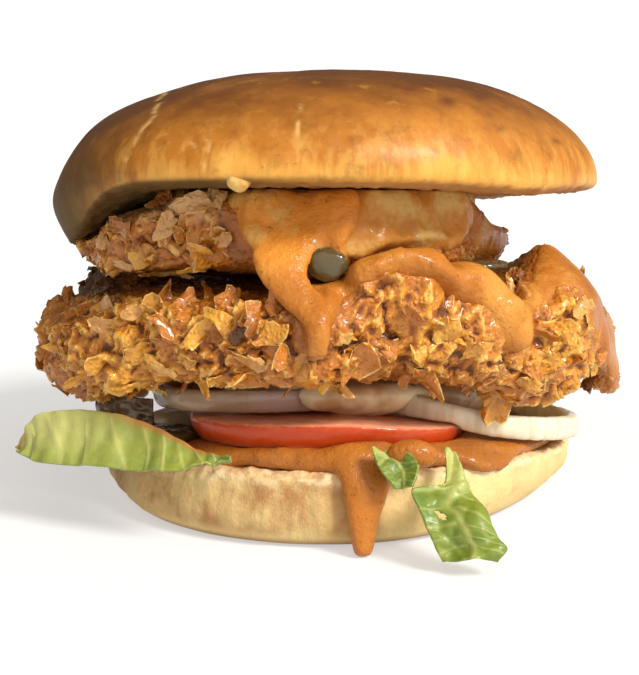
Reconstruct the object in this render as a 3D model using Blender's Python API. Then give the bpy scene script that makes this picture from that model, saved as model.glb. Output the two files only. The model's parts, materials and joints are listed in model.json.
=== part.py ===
"""Chicken burger: two crumbed fillets with cheese, sauces, onion, tomato, pickle and lettuce in a bun.

Metres, +Z up.  The origin is the centre of the lower bun's flat base, and -Y is the front.
Most pieces are round bodies: an outline seen from above, a lower and an upper height, and a side
section that joins them.  Sauce and cheese are poured over such a body and then cut back from their
neighbours, so that everything lies on what carries it with a hairline gap.
Run it with: blender --background --python part.py
"""

import math

import bmesh
import bpy
from mathutils import Matrix, Vector, noise

MM = 0.001
GAP = 0.3 * MM                      # clearance between pieces that touch

# Heights over the table on the burger's axis.  Each layer leans back by its slope.
CUT_HEIGHT, CUT_SLOPE = 9.2 * MM, 0.118           # cut face of the lower bun
TOMATO_HEIGHT, TOMATO_SLOPE = 11.0 * MM, 0.150    # underside of the tomato
TOMATO_THICKNESS = 5.6 * MM
FILLET_SLOPE = 0.088
LOWER_FILLET = (24.9 * MM, 45.3 * MM)             # underside and top of the lower fillet
UPPER_FILLET = (46.5 * MM, 59.6 * MM)             # underside and top of the upper fillet
CROWN_HEIGHT, CROWN_SLOPE = 62.4 * MM, 0.104      # cut face of the upper bun
CROWN_RISE = 24.8 * MM                            # height of the upper bun's dome

HEEL_RADIUS = 50.0 * MM                           # lower bun
HEEL_CENTRE = (1.4 * MM, 0.0)
CROWN_RADIUS = 58.0 * MM                          # upper bun
CROWN_CENTRE = (-2.9 * MM, 0.0)
CROWN_DROOP = 13.5 * MM                           # how far the upper bun's left side hangs down
TOMATO_HALF = (29.0 * MM, 24.0 * MM)              # half width and half depth of the tomato
TOMATO_CENTRE = (-1.6 * MM, -22.5 * MM)
CHEESE_THICKNESS = 1.7 * MM
SAUCE_THICKNESS = 1.5 * MM

# outlines of a pickle's side: (share of radius, share of thickness)
SLICE_SECTION = [(0.0, 0.0), (0.9, 0.0), (1.0, 0.25), (1.0, 0.75), (0.9, 1.0), (0.0, 1.0)]
END_SECTION = [(0.0, 0.0), (0.5, 0.06), (0.86, 0.24), (1.0, 0.5), (0.86, 0.76), (0.5, 0.94), (0.0, 1.0)]

UNCUT = {}                          # each piece's mesh before it was cut back


# ---------------------------------------------------------------- small helpers

def smooth(value):
    """0 below 0, 1 above 1, and an even S between."""
    value = min(max(value, 0.0), 1.0)
    return value * value * (3 - 2 * value)


def bell(offset, width):
    """A bump of height 1 that falls away over about one width."""
    return math.exp(-((offset / width) ** 2))


def turn_between(angle, centre):
    """Signed difference of two angles given in degrees."""
    return (angle - centre + 180) % 360 - 180


def leaning(height, slope):
    """A plane at this height on the axis, lower towards the back."""
    return lambda x, y: height - slope * y


def levelling(slope, y):
    """Height lost by a layer that leans back at the front and lies nearly level behind."""
    return slope * min(y, 0.0) - 0.02 * max(y, 0.0)


def wavy(radius, *waves):
    """An outline of this radius with (count, share, phase) waves around it."""
    def at(angle):
        turn = math.radians(angle)
        return radius * (1 + sum(share * math.sin(count * turn + phase) for count, share, phase in waves))
    return at


def oval(half_width, half_depth, *waves):
    """An oval outline with waves, as seen from above."""
    ripple = wavy(1.0, *waves)

    def at(angle):
        turn = math.radians(angle)
        reach = math.hypot(math.cos(turn) / half_width, math.sin(turn) / half_depth)
        return ripple(angle) / reach
    return at


def pillow_section(power, count):
    """Stations (share of radius, share of height) round a soft edge, from bottom centre to top centre."""
    stations = [(0.0, 0.0)]
    for step in range(1, count):
        turn = math.pi * (step / count - 0.5)
        rise = math.copysign(abs(math.sin(turn)) ** (2 / power), math.sin(turn))
        stations.append((math.cos(turn) ** (2 / power), 0.5 + 0.5 * rise))
    return stations + [(0.0, 1.0)]


def even_angles(count):
    return [360 * i / count for i in range(count)]


def angles_about(run, *, near=16, across=22, front=16, back=10):
    """Angles in degrees: close steps across a run of sauce, wider ones in front and widest behind."""
    start, end = -138, 12
    low, high = run - across / 2, run + across / 2
    left = round(front * (low - start) / (end - start - across))
    stretches = ((start, low, left), (low, high, near), (high, end, front - left), (end, start + 360, back))
    return [a + (b - a) * i / count for a, b, count in stretches for i in range(count)]


# ---------------------------------------------------------------- materials and meshes

def material(name, colour, roughness, metallic=0.0):
    made = bpy.data.materials.new(name)
    made.use_nodes = True
    shader = made.node_tree.nodes["Principled BSDF"]
    shader.inputs["Base Color"].default_value = (*colour, 1.0)
    shader.inputs["Roughness"].default_value = roughness
    shader.inputs["Metallic"].default_value = metallic
    made.diffuse_color = (*colour, 1.0)
    return made


def add_object(name, points, faces, finish):
    mesh = bpy.data.meshes.new(name)
    mesh.from_pydata([tuple(p) for p in points], [], faces)
    shape = bmesh.new()
    shape.from_mesh(mesh)
    bmesh.ops.recalc_face_normals(shape, faces=shape.faces)
    bmesh.ops.triangulate(shape, faces=shape.faces)
    shape.to_mesh(mesh)
    shape.free()
    mesh.shade_smooth()
    mesh.materials.append(finish)
    made = bpy.data.objects.new(name, mesh)
    bpy.context.scene.collection.objects.link(made)
    return made


def loft(name, rows, first, last, finish):
    """A closed skin through rings of points, with a fan to the point first and to the point last."""
    around = len(rows[0])
    points = [first] + [p for row in rows for p in row] + [last]
    faces = []
    for i in range(around):
        j = (i + 1) % around
        faces.append((0, 1 + j, 1 + i))
        for r in range(len(rows) - 1):
            low, high = 1 + r * around, 1 + (r + 1) * around
            faces.append((low + i, low + j, high + j, high + i))
        top = 1 + (len(rows) - 1) * around
        faces.append((top + i, top + j, len(points) - 1))
    return add_object(name, points, faces, finish)


class Body:
    """A round piece: where each station of its side section lies, for every angle."""

    def __init__(self, centre, outline, low, high, section, shape=None):
        self.centre, self.outline, self.low, self.high = centre, outline, low, high
        self.section, self.shape = section, shape

    def point(self, angle, station):
        index = min(int(station), len(self.section) - 2)
        (r0, h0), (r1, h1) = self.section[index], self.section[index + 1]
        part = station - index
        share, height = r0 + part * (r1 - r0), h0 + part * (h1 - h0)
        reach = share * self.outline(angle)
        x = self.centre[0] + reach * math.cos(math.radians(angle))
        y = self.centre[1] + reach * math.sin(math.radians(angle))
        low, high = self.low(x, y), self.high(x, y)
        place = Vector((x, y, low + height * (high - low)))
        return self.shape(place, angle, share, height) if self.shape else place

    def outward(self, angle, station):
        around = self.point(angle + 1.5, station) - self.point(angle - 1.5, station)
        top = len(self.section) - 1.001
        up = self.point(angle, min(station + 0.3, top)) - self.point(angle, max(station - 0.3, 0.001))
        return around.cross(up).normalized()

    def build(self, name, angles, finish):
        last = len(self.section) - 1
        rows = [[self.point(a, k) for a in angles] for k in range(1, last)]
        return loft(name, rows, self.point(0, 0), self.point(0, last), finish)


def pour(name, body, reach, thickness, sink, level, hem, angles, finish):
    """A layer on a body, from its top centre out and down its side to the station reach(angle).

    level are the stations of the first rows, and hem the shares of the way from there down to the reach.
    thickness(angle, share, station) is the depth over the body, and sink is how far the layer starts inside
    it, to be cut off again.
    """
    top = len(body.section) - 1
    start = level[-1]
    upper, lower = [], []
    for share, fixed in [(0.0, k) for k in level] + [(s, None) for s in hem]:
        stations = [(a, start - share * (start - reach(a)) if fixed is None else fixed) for a in angles]
        bases = [(body.point(a, k), body.outward(a, k), thickness(a, share, k)) for a, k in stations]
        upper.append([over_table(place + depth * out) for place, out, depth in bases])
        lower.append([over_table(place - sink * out) for place, out, depth in bases])
    centre = body.point(0, top)
    above = centre + Vector((0, 0, thickness(0, 0, top)))
    below = centre - Vector((0, 0, sink))
    return loft(name, upper + lower[::-1], above, below, finish)


def over_table(place):
    """The same place, but not nearer to the table than the gap."""
    return Vector((place.x, place.y, max(place.z, GAP)))


def sound(mesh):
    """Whether every edge joins two faces that turn the same way once coinciding corners are merged."""
    shape = bmesh.new()
    shape.from_mesh(mesh)
    bmesh.ops.remove_doubles(shape, verts=shape.verts, dist=0.0001 * MM)
    good = all(edge.is_manifold and edge.is_contiguous for edge in shape.edges)
    shape.free()
    return good


def keep_largest(mesh):
    """Drops a cut's loose crumbs, and its slivers where the piece stays closed without them."""
    shape = bmesh.new()
    shape.from_mesh(mesh)
    left, groups = set(shape.verts), []
    while left:
        group, edge = set(), [left.pop()]
        while edge:
            vert = edge.pop()
            group.add(vert)
            for other in (e.other_vert(vert) for e in vert.link_edges):
                if other in left:
                    left.discard(other)
                    edge.append(other)
        groups.append(group)
    groups.sort(key=len)
    bmesh.ops.delete(shape, geom=[v for g in groups[:-1] for v in g], context="VERTS")
    bmesh.ops.triangulate(shape, faces=shape.faces)
    shape.to_mesh(mesh)
    shape.free()
    for sliver in (0.02 * MM, 0.01 * MM, 0.005 * MM, 0.002 * MM):
        trial = mesh.copy()
        shape = bmesh.new()
        shape.from_mesh(trial)
        bmesh.ops.dissolve_degenerate(shape, edges=shape.edges, dist=sliver)
        bmesh.ops.triangulate(shape, faces=shape.faces)
        shape.to_mesh(trial)
        shape.free()
        if sound(trial):
            return trial
    return mesh


def lighter(piece, share):
    """Collapses small faces of a cut piece down to this share, or a little more if that breaks it."""
    thin = piece.modifiers.new("fewer_faces", "DECIMATE")
    thin.use_collapse_triangulate = True
    for extra in (0.0, 0.03, 0.06, 0.1, 0.15, 0.2):
        thin.ratio = share + extra
        bpy.context.view_layer.update()
        result = bpy.data.meshes.new_from_object(piece.evaluated_get(bpy.context.evaluated_depsgraph_get()))
        if sound(result):
            break
    piece.modifiers.remove(thin)
    piece.data = result
    return piece


def swollen(source, amount):
    """A hidden copy of a piece as it was before any cut, grown by this much along its normals."""
    whole = UNCUT.get(source.name, source.data)
    copy = bpy.data.objects.new("grown_" + source.name, whole.copy())
    copy.hide_render = True
    copy.display_type = "WIRE"
    bpy.context.scene.collection.objects.link(copy)
    for vert, normal in zip(copy.data.vertices, [n.vector.copy() for n in whole.vertex_normals]):
        vert.co += amount * normal
    return copy


def cut_back(piece, *neighbours, gap=GAP):
    """Cuts a soft piece back from its neighbours, which keep their shape."""
    for neighbour in neighbours:
        cutter = swollen(neighbour, gap)
        cut = piece.modifiers.new("clear_of_" + neighbour.name, "BOOLEAN")
        cut.operation, cut.solver, cut.object = "DIFFERENCE", "EXACT", cutter
    bpy.context.view_layer.update()
    graph = bpy.context.evaluated_depsgraph_get()
    result = bpy.data.meshes.new_from_object(piece.evaluated_get(graph))
    for cut in list(piece.modifiers):
        cutter = cut.object
        piece.modifiers.remove(cut)
        bpy.data.objects.remove(cutter)
    UNCUT.setdefault(piece.name, piece.data)
    piece.data = keep_largest(result)
    return piece


# ---------------------------------------------------------------- buns

def heel_section():
    """Lower bun: flat base, tight baked corner, bulging side and a lip at the cut."""
    base = [(0.0, 0.0), (0.5, 0.0), (0.945, 0.0), (0.975, 0.05)]
    side = []
    steps = 4
    for step in range(1, steps + 1):
        share = step / (steps + 1)
        side.append((0.975 + 0.045 * math.sin(math.pi * share ** 0.8), 0.05 + 0.9 * share))
    lip = [(0.99, 0.99), (0.93, 1.0), (0.5, 1.0), (0.0, 1.0)]
    return base + side + lip


def cut_face(x, y):
    """Top of the lower bun: it leans back in front, levels off behind and is pressed down at the left."""
    return CUT_HEIGHT - levelling(CUT_SLOPE, y) - 2.6 * MM * smooth((-x - 22 * MM) / (20 * MM))


def heel_shape(place, angle, share, height):
    """Shallow dents in the side, and a base that tucks in at the front right and a little at the left."""
    side = smooth((share - 0.8) / 0.15) * smooth(height / 0.2) * smooth((1.0 - height) / 0.2 + 0.35)
    dent = 1.3 * MM * noise.noise(place / (11 * MM)) * side
    right = smooth(1.15 - abs(turn_between(angle, -33)) / 46)
    left = smooth(1 - abs(turn_between(angle, -152)) / 24)
    tuck = 5.6 * right * (1 - height) ** 1.2 + 1.8 * left * (1 - height) ** 1.4 + 0.5 * right
    tuck = tuck * MM * share ** 4
    away = Vector((math.cos(math.radians(angle)), math.sin(math.radians(angle)), 0))
    return place + away * (dent - tuck)


HEEL = Body(
    HEEL_CENTRE,
    wavy(HEEL_RADIUS, (2, 0.010, 0.6), (3, 0.008, 2.0), (5, 0.004, 0.3)),
    lambda x, y: 0.0,
    cut_face,
    heel_section(),
    heel_shape,
)


def crown_section():
    """Upper bun: flat cut face, tight lower corner and an elliptical dome."""
    face = [(0.0, 0.0), (0.55, 0.0), (0.93, 0.0), (0.985, 0.02)]
    steps = 9
    turns = [math.pi / 2 * i / steps for i in range(steps)]
    dome = [(math.cos(t), 0.06 + 0.94 * math.sin(t)) for t in turns]
    return face + dome + [(0.0, 1.0)]


def crown_shape(place, angle, share, height):
    """The left side hangs down over the filling and curls in at its lower edge; the right side sags."""
    beyond = (CROWN_CENTRE[0] - place.x - 33 * MM) / (21 * MM)
    droop = CROWN_DROOP * min(max(beyond, 0.0), 0.95) ** 2 * (1 - height) ** 1.6
    curl = 5.0 * MM * smooth(beyond) * smooth(1 - height / 0.24) * share ** 4
    swell = 1.1 * MM * noise.noise(place / (26 * MM)) * smooth(height / 0.3)
    swell += (2.4 * bell(place.x - 38 * MM, 19 * MM) - 1.1 * bell(place.x + 42 * MM, 14 * MM)) * MM * height
    droop += 1.4 * MM * bell(place.x - 36 * MM, 10 * MM) * (1 - height) ** 2
    return place + Vector((curl, 0, swell - droop))


CROWN = Body(
    CROWN_CENTRE,
    wavy(CROWN_RADIUS, (2, 0.006, 1.1), (3, 0.009, 0.4), (5, 0.004, 2.2)),
    leaning(CROWN_HEIGHT, CROWN_SLOPE),
    lambda x, y: CROWN_HEIGHT - CROWN_SLOPE * y + CROWN_RISE,
    crown_section(),
    crown_shape,
)


# ---------------------------------------------------------------- chicken

def craggy(place, angle, share, height, rough):
    """Lumps of crumb coating on the rim, fading out where the fillet is sandwiched."""
    lump = noise.noise(place / (9 * MM)) + 0.5 * noise.noise(place / (4.5 * MM) + Vector((7, 0, 0)))
    away = Vector((math.cos(math.radians(angle)), math.sin(math.radians(angle)), 1.4 * (height - 0.5)))
    return place + away.normalized() * rough * lump * smooth((share - 0.62) / 0.25)


def lower_fillet_low(x, y):
    """Underside: a flap hangs at the right end, and lumps sag at the front left and front right."""
    flap = 18.0 * MM * bell(x - 60 * MM, 5.5 * MM) * bell(y + 9 * MM, 8 * MM)
    left = 7.5 * MM * bell(x + 51 * MM, 13 * MM) * smooth((-y + 2 * MM) / (20 * MM))
    right = 7.5 * MM * bell(x - 40 * MM, 14 * MM) * smooth((-y - 15 * MM) / (14 * MM))
    behind = 4.0 * MM * smooth((y - 4 * MM) / (30 * MM))
    return LOWER_FILLET[0] - FILLET_SLOPE * y - flap - left - right - behind


def lower_fillet_high(x, y):
    """Top: a mound at the front right, a hump at the right end and a low left end with a lump."""
    hump = 11.4 * MM * bell(x - 42.0 * MM, 8.5 * MM) * bell(y + 14 * MM, 13 * MM)
    mound = 11.4 * MM * bell(x - 16 * MM, 12.5 * MM) * smooth((-y - 42.0 * MM) / (6.5 * MM))
    lump = 6.5 * MM * bell(x + 44 * MM, 5 * MM) * bell(y + 4 * MM, 9 * MM)
    low_end = 4.0 * MM * smooth((-x - 38 * MM) / (16 * MM))
    return LOWER_FILLET[1] - FILLET_SLOPE * y + hump + mound + lump - low_end


def lower_shape(place, angle, share, height):
    """Coating lumps, steep walls on the lump and the hump, a full left end and a sloping right end."""
    high = smooth((height - 0.5) / 0.3)
    right_end = smooth((place.x - 50 * MM) / (7 * MM))
    wall = 9.0 * MM * bell(place.x - 30 * MM, 9 * MM) * bell(place.y + 12 * MM, 12 * MM) * high
    wall -= 6.0 * MM * bell(place.x + 44.5 * MM, 5 * MM) * bell(place.y + 4 * MM, 10 * MM) * high
    slope = 2.4 * smooth((place.z - 25 * MM) / (8 * MM)) - 1.4 * smooth((place.z - 39 * MM) / (5 * MM))
    foot = 1.3 * smooth((26 * MM - place.z) / (6 * MM))
    full = 2.4 * smooth((-place.x - 48 * MM) / (8 * MM)) * smooth((33 * MM - place.z) / (6 * MM))
    along = wall + (foot - slope) * right_end * MM - full * MM
    return craggy(place, angle, share, height, 1.9 * MM) + Vector((along, 0, 0))


LOWER = Body(
    (-2.0 * MM, -4.0 * MM),
    oval(62.5 * MM, 50.5 * MM, (3, 0.020, 0.9), (4, 0.022, 2.4), (7, 0.012, 0.5)),
    lower_fillet_low,
    lower_fillet_high,
    pillow_section(3.6, 12),
    lower_shape,
)


def upper_fillet_low(x, y):
    """Underside: the front edge and the left end hang down to the lower fillet."""
    front = 2.0 * MM * smooth((-y - 30 * MM) / (10 * MM))
    left = 2.4 * MM * smooth((-x - 24 * MM) / (14 * MM)) * smooth((-y + 5 * MM) / (15 * MM))
    return UPPER_FILLET[0] - FILLET_SLOPE * y - front - left


def upper_fillet_high(x, y):
    """Top: it swells up to the bun at the front left and, less, along the right."""
    left = 3.4 * MM * bell(x + 30 * MM, 14 * MM) * smooth((-y - 5 * MM) / (25 * MM))
    right = 1.8 * MM * smooth((x + 5 * MM) / (15 * MM)) * smooth((-y + 10 * MM) / (25 * MM))
    return UPPER_FILLET[1] - 0.100 * y + left + right


def upper_shape(place, angle, share, height):
    """Coating lumps, and a right end that leans outwards."""
    lean = (3.2 * height - 3.4) * MM * smooth((place.x - 25 * MM) / (8 * MM))
    return craggy(place, angle, share, height, 1.5 * MM) + Vector((lean, 0, 0))


UPPER = Body(
    (-8.2 * MM, -3.0 * MM),
    oval(46.0 * MM, 43.5 * MM, (3, 0.022, 0.2), (5, 0.018, 1.4)),
    upper_fillet_low,
    upper_fillet_high,
    pillow_section(3.8, 11),
    upper_shape,
)


# ---------------------------------------------------------------- tomato, onion, pickle

def tomato_slice(finish):
    """A slice whose skin flares outwards from the smaller lower face."""
    section = [(0.0, 0.0), (0.6, 0.0), (0.885, 0.0), (0.925, 0.12), (0.965, 0.4), (0.992, 0.72)]
    section += [(0.995, 0.9), (0.975, 1.0), (0.6, 1.0), (0.0, 1.0)]
    body = Body(
        TOMATO_CENTRE,
        oval(*TOMATO_HALF, (4, 0.022, math.pi * 1.5), (5, 0.010, 1.0)),
        lambda x, y: tomato_top(x, y) - TOMATO_THICKNESS,
        tomato_top,
        section,
    )
    return body.build("tomato_slice", even_angles(28), finish)


def tomato_top(x, y):
    """Upper face of the tomato, which sags at its right end."""
    return TOMATO_HEIGHT + TOMATO_THICKNESS - levelling(TOMATO_SLOPE, y) - 2.0 * MM * smooth(x / (30 * MM))


def onion_piece(name, centre, half, foot, wall, height, finish, span=(0, 360), count=28):
    """A cut ring of onion, or a part of one: a bowed wall on an oval path whose foot stands on foot(x, y).

    half is (half width, half depth) of the oval, and span the angles that the piece runs between.
    """
    outline = oval(*half, (2, 0.012, 0.8), (3, 0.014, 2.1))
    section = [(-0.5, 0.0), (0.32, 0.0), (0.5, 0.5), (0.38, 1.0), (-0.36, 1.0), (-0.52, 0.5)]
    whole = span[1] - span[0] == 360
    rows = []
    for i in range(count if whole else count + 1):
        angle = span[0] + (span[1] - span[0]) * i / count
        away = Vector((math.cos(math.radians(angle)), math.sin(math.radians(angle)), 0))
        row = []
        for out, up in section:
            place = Vector((*centre, 0)) + away * (outline(angle) + out * wall)
            place.z = foot(place.x, place.y) + up * height
            row.append(place)
        rows.append(row)
    if not whole:
        first, last = (sum(row, Vector()) / len(section) for row in (rows[0], rows[-1]))
        return loft(name, rows, first, last, finish)
    points = [place for row in rows for place in row]
    size = len(section)
    faces = []
    for i in range(count):
        here, there = i * size, (i + 1) % count * size
        for k in range(size):
            n = (k + 1) % size
            faces.append((here + k, there + k, there + n, here + n))
    return add_object(name, points, faces, finish)


def pickle_slice(name, centre, radius, thickness, tilt, finish, section=SLICE_SECTION):
    """A round piece of gherkin with a rounded rind, turned by tilt = (about X, about Y) in degrees."""
    body = Body(
        (0.0, 0.0),
        wavy(radius, (5, 0.02, 0.0), (2, 0.03, 1.0)),
        leaning(-thickness / 2, 0),
        leaning(thickness / 2, 0),
        section,
    )
    made = body.build(name, even_angles(16), finish)
    turn = Matrix.Rotation(math.radians(tilt[0]), 4, "X") @ Matrix.Rotation(math.radians(tilt[1]), 4, "Y")
    made.data.transform(Matrix.Translation(Vector(centre)) @ turn)
    return made


# ---------------------------------------------------------------- lettuce

def leaf(name, spine, half_width, lean, ruffle, thickness, finish, along=12, across=5):
    """A torn strip of leaf.

    spine(s) is the middle of the leaf for s from 0 to 1, half_width(s) its half breadth, lean(s) the unit
    direction across it, and ruffle(s, side) how far it stands off that line.
    """
    sheet = []
    for i in range(along + 1):
        s = i / along
        ahead = spine(min(s + 0.02, 1.0)) - spine(max(s - 0.02, 0.0))
        facing = lean(s).cross(ahead).normalized()
        row = []
        for j in range(across + 1):
            side = 2 * j / across - 1
            row.append((spine(s) + lean(s) * side * half_width(s) + facing * ruffle(s, side), facing))
        sheet.append(row)
    points = [p + f * thickness / 2 for row in sheet for p, f in row]
    points += [p - f * thickness / 2 for row in sheet for p, f in row]
    wide, count = across + 1, (along + 1) * (across + 1)
    faces = []
    for i in range(along):
        for j in range(across):
            a = i * wide + j
            faces.append((a, a + 1, a + wide + 1, a + wide))
            faces.append((count + a, count + a + wide, count + a + wide + 1, count + a + 1))
    rim = [j for j in range(wide)] + [(i + 1) * wide - 1 for i in range(1, along + 1)]
    rim += [along * wide + j for j in range(wide - 2, -1, -1)] + [i * wide for i in range(along - 1, 0, -1)]
    for a, b in zip(rim, rim[1:] + rim[:1]):
        faces.append((a, count + a, count + b, b))
    return add_object(name, points, faces, finish)


def curve_through(*stops):
    """A smooth path through a few points, for a share from 0 to 1."""
    stops = [Vector(p) for p in stops]

    def at(s):
        place = s * (len(stops) - 1)
        k = min(int(place), len(stops) - 2)
        t = place - k
        a, b = stops[max(k - 1, 0)], stops[k]
        c, d = stops[k + 1], stops[min(k + 2, len(stops) - 1)]
        second, third = 2 * a - 5 * b + 4 * c - d, 3 * b - a - 3 * c + d
        return 0.5 * (2 * b + (c - a) * t + second * t * t + third * t ** 3)
    return at


def left_leaf(finish):
    """The pale strip that sticks out at the front left, with its lower edge hanging outwards."""
    spine = curve_through(
        (-19.0 * MM, -50.5 * MM, 17.4 * MM), (-25.0 * MM, -48.6 * MM, 17.0 * MM),
        (-30.5 * MM, -46.0 * MM, 17.0 * MM), (-36.0 * MM, -43.0 * MM, 17.6 * MM),
        (-41.5 * MM, -40.0 * MM, 18.7 * MM), (-47.5 * MM, -37.0 * MM, 18.8 * MM),
        (-53.3 * MM, -34.0 * MM, 18.2 * MM),
        (-58.2 * MM, -31.5 * MM, 16.6 * MM),
        (-62.6 * MM, -29.0 * MM, 13.4 * MM),
    )
    return leaf(
        "lettuce_left", spine,
        lambda s: (0.9 + 4.7 * smooth(s / 0.55) * smooth((1.03 - s) / 0.38)) * MM,
        lambda s: Vector((0.10, -0.45, -0.89)).normalized(),
        lambda s, side: (0.8 * math.sin(19 * s + 1.3 * side) * (0.4 + abs(side)) - 1.0 * side * side) * MM,
        1.5 * MM, finish, along=16, across=4,
    )


def front_leaf(finish):
    """The darker leaf that hangs from the sauce at the front right down to the table."""
    spine = curve_through(
        (21.0 * MM, -46.5 * MM, 19.2 * MM),
        (20.4 * MM, -53.0 * MM, 16.4 * MM),
        (18.8 * MM, -57.0 * MM, 12.6 * MM),
        (21.0 * MM, -59.5 * MM, 7.8 * MM), (23.8 * MM, -61.5 * MM, 3.0 * MM),
    )
    return leaf(
        "lettuce_front", spine,
        lambda s: (1.5 + 4.6 * smooth((s - 0.28) / 0.2) - 0.2 * smooth((s - 0.8) / 0.2)) * MM,
        lambda s: Vector((0.93, 0.30, 0.16 - 0.2 * s)).normalized(),
        lambda s, side: (1.5 * math.cos(4.2 * side + 1.0) * smooth(s / 0.4) + 0.4 * math.sin(9 * s)) * MM,
        1.1 * MM, finish, along=10, across=5,
    )


def small_leaf(finish):
    """The short curl of leaf beside the main run of sauce."""
    spine = curve_through(
        (7.4 * MM, -50.6 * MM, 18.9 * MM),
        (10.6 * MM, -54.0 * MM, 17.2 * MM),
        (13.6 * MM, -56.2 * MM, 13.8 * MM),
    )
    return leaf(
        "lettuce_small", spine,
        lambda s: (1.2 + 2.3 * smooth(s / 0.5) - 0.8 * smooth((s - 0.7) / 0.3)) * MM,
        lambda s: Vector((0.75, -0.1, 0.62)).normalized(),
        lambda s, side: 0.7 * math.cos(3 * side) * MM,
        1.1 * MM, finish, along=6, across=4,
    )


# ---------------------------------------------------------------- cheese, sauces, mayonnaise

def rounded_hem(depth, share):
    """Depth of a poured layer: full over most of it and rounded off at the hem."""
    return depth * math.sqrt(max(1 - share ** 12, 0.0))


def cheese_slice(finish):
    """Melted slice: over the right of the upper fillet's top and well down its front right."""
    top = len(UPPER.section) - 1

    def reach(angle):
        front = smooth(1.1 - abs(turn_between(angle, -58)) / 42)
        left = smooth(1 - abs(turn_between(angle, 180)) / 80)
        ripple = 0.35 * math.sin(math.radians(11 * angle)) * front
        return top - 3.4 - 2.9 * front + ripple + 1.4 * left

    def depth(angle, share, station):
        return rounded_hem(CHEESE_THICKNESS, share)

    hem = (0.3, 0.6, 0.85, 1.0)
    angles = angles_about(-58, near=12, across=60, front=8, back=10)
    return pour("cheese_slice", UPPER, reach, depth, 0.9 * MM, (10, 9.2), hem, angles, finish)


def top_sauce(finish):
    """Sauce under the upper bun that runs down the front of the upper fillet."""
    top = len(UPPER.section) - 1

    def reach(angle):
        flow = smooth(1.35 - abs(turn_between(angle, -91)) / 17)
        side = 0.9 * bell(turn_between(angle, -52), 8) + 0.5 * bell(turn_between(angle, -24), 9)
        back = 0.25 * bell(turn_between(angle, 95), 15) + 0.2 * bell(turn_between(angle, 150), 12)
        left = smooth(1 - abs(turn_between(angle, 180)) / 75)
        return top - 3.3 - 5.9 * flow - 1.2 * side - 2.2 * back + 1.2 * left

    def depth(angle, share, station):
        front = smooth(1.2 - abs(turn_between(angle, -91)) / 24)
        return rounded_hem(CHEESE_THICKNESS + SAUCE_THICKNESS + 1.0 * MM * front, share)

    hem = (0.2, 0.4, 0.6, 0.8, 0.93, 1.0)
    angles = angles_about(-91, near=20, across=52, front=10, back=9)
    return pour("sauce_top", UPPER, reach, depth, 0.8 * MM, (10, 9.2), hem, angles, finish)


def middle_sauce(finish):
    """Sauce between the fillets: a long run at the front, a band along the mound and a coat on the hump."""
    top = len(LOWER.section) - 1

    def reach(angle):
        run = smooth(1.35 - abs(turn_between(angle, -92)) / 7)
        band = smooth(1.2 - abs(turn_between(angle, -66)) / 25)
        hump = smooth(1.2 - abs(turn_between(angle, -14)) / 20)
        return top - 2.2 - max(4.6 * run, 3.1 * band, 2.7 * hump)

    def depth(angle, share, station):
        front = smooth(1.3 - abs(turn_between(angle, -80)) / 40)
        hump = smooth(1.2 - abs(turn_between(angle, -14)) / 20)
        return rounded_hem((1.8 + 0.8 * front - 0.2 * hump) * MM, share)

    hem = (0.25, 0.5, 0.75, 0.92, 1.0)
    angles = angles_about(-92, near=14, across=24, front=20, back=8)
    return pour("sauce_middle", LOWER, reach, depth, 1.2 * MM, (11, 10.1), hem, angles, finish)


def base_sauce(finish):
    """Thick burger sauce on the lower bun, with one run down to the table and shorter ones beside it."""
    section = len(HEEL.section) - 1
    rim = section - 2.35

    def reach(angle):
        run = smooth(1.35 - abs(turn_between(angle, -85.5)) / 4.8)
        shoulder = bell(turn_between(angle, -84), 11)
        right = bell(turn_between(angle, -54), 9)
        back = bell(turn_between(angle, 70), 7) + 0.6 * bell(turn_between(angle, 130), 6)
        return rim - 5.6 * run - 0.6 * shoulder - 1.5 * right - 1.5 * back

    def depth(angle, share, station):
        front = smooth(1.1 - abs(turn_between(angle, -88)) / 62)
        run = smooth(1.5 - abs(turn_between(angle, -85.5)) / 7)
        level = (1.4 + 2.2 * front) * smooth((station - rim + 0.4) / 0.9)
        foot = 3.0 * run * smooth((4.8 - station) / 1.6)
        return rounded_hem((1.2 + 1.6 * run + foot + level) * MM, share)

    hem = (0.2, 0.45, 0.7, 0.9, 1.0)
    angles = angles_about(-85.5, near=14, across=20, front=22, back=12)
    return pour("sauce_base", HEEL, reach, depth, 0.9 * MM, (10.2, 9.6, 9.2, 8.8), hem, angles, finish)


def mayonnaise(finish):
    """The pale dressing between the onion rings, the tomato and the lower fillet."""
    body = Body(
        (5.5 * MM, -5.5 * MM),
        oval(31 * MM, 28 * MM, (3, 0.05, 1.0), (5, 0.03, 0.4)),
        lambda x, y: tomato_top(x, y) - 0.8 * MM - 5.0 * MM * smooth(y / (8 * MM)),
        leaning(LOWER_FILLET[0] + 1.2 * MM, FILLET_SLOPE),
        pillow_section(3.0, 7),
    )
    return body.build("mayonnaise", even_angles(30), finish)


# ---------------------------------------------------------------- the burger

def left_ring_foot(x, y):
    """The left onion ring lies on the tomato."""
    return TOMATO_HEIGHT + TOMATO_THICKNESS + GAP - levelling(TOMATO_SLOPE, y)


def right_ring_foot(x, y):
    """The right onion ring rests on the tomato at its left and on the lower bun's rim at its right."""
    slope = 0.22 * min(x - 15 * MM, 19 * MM) + 0.10 * max(x - 34 * MM, 0.0)
    return 16.1 * MM - slope - levelling(0.140, y)


def clear_scene():
    for thing in list(bpy.data.objects):
        bpy.data.objects.remove(thing, do_unlink=True)


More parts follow.
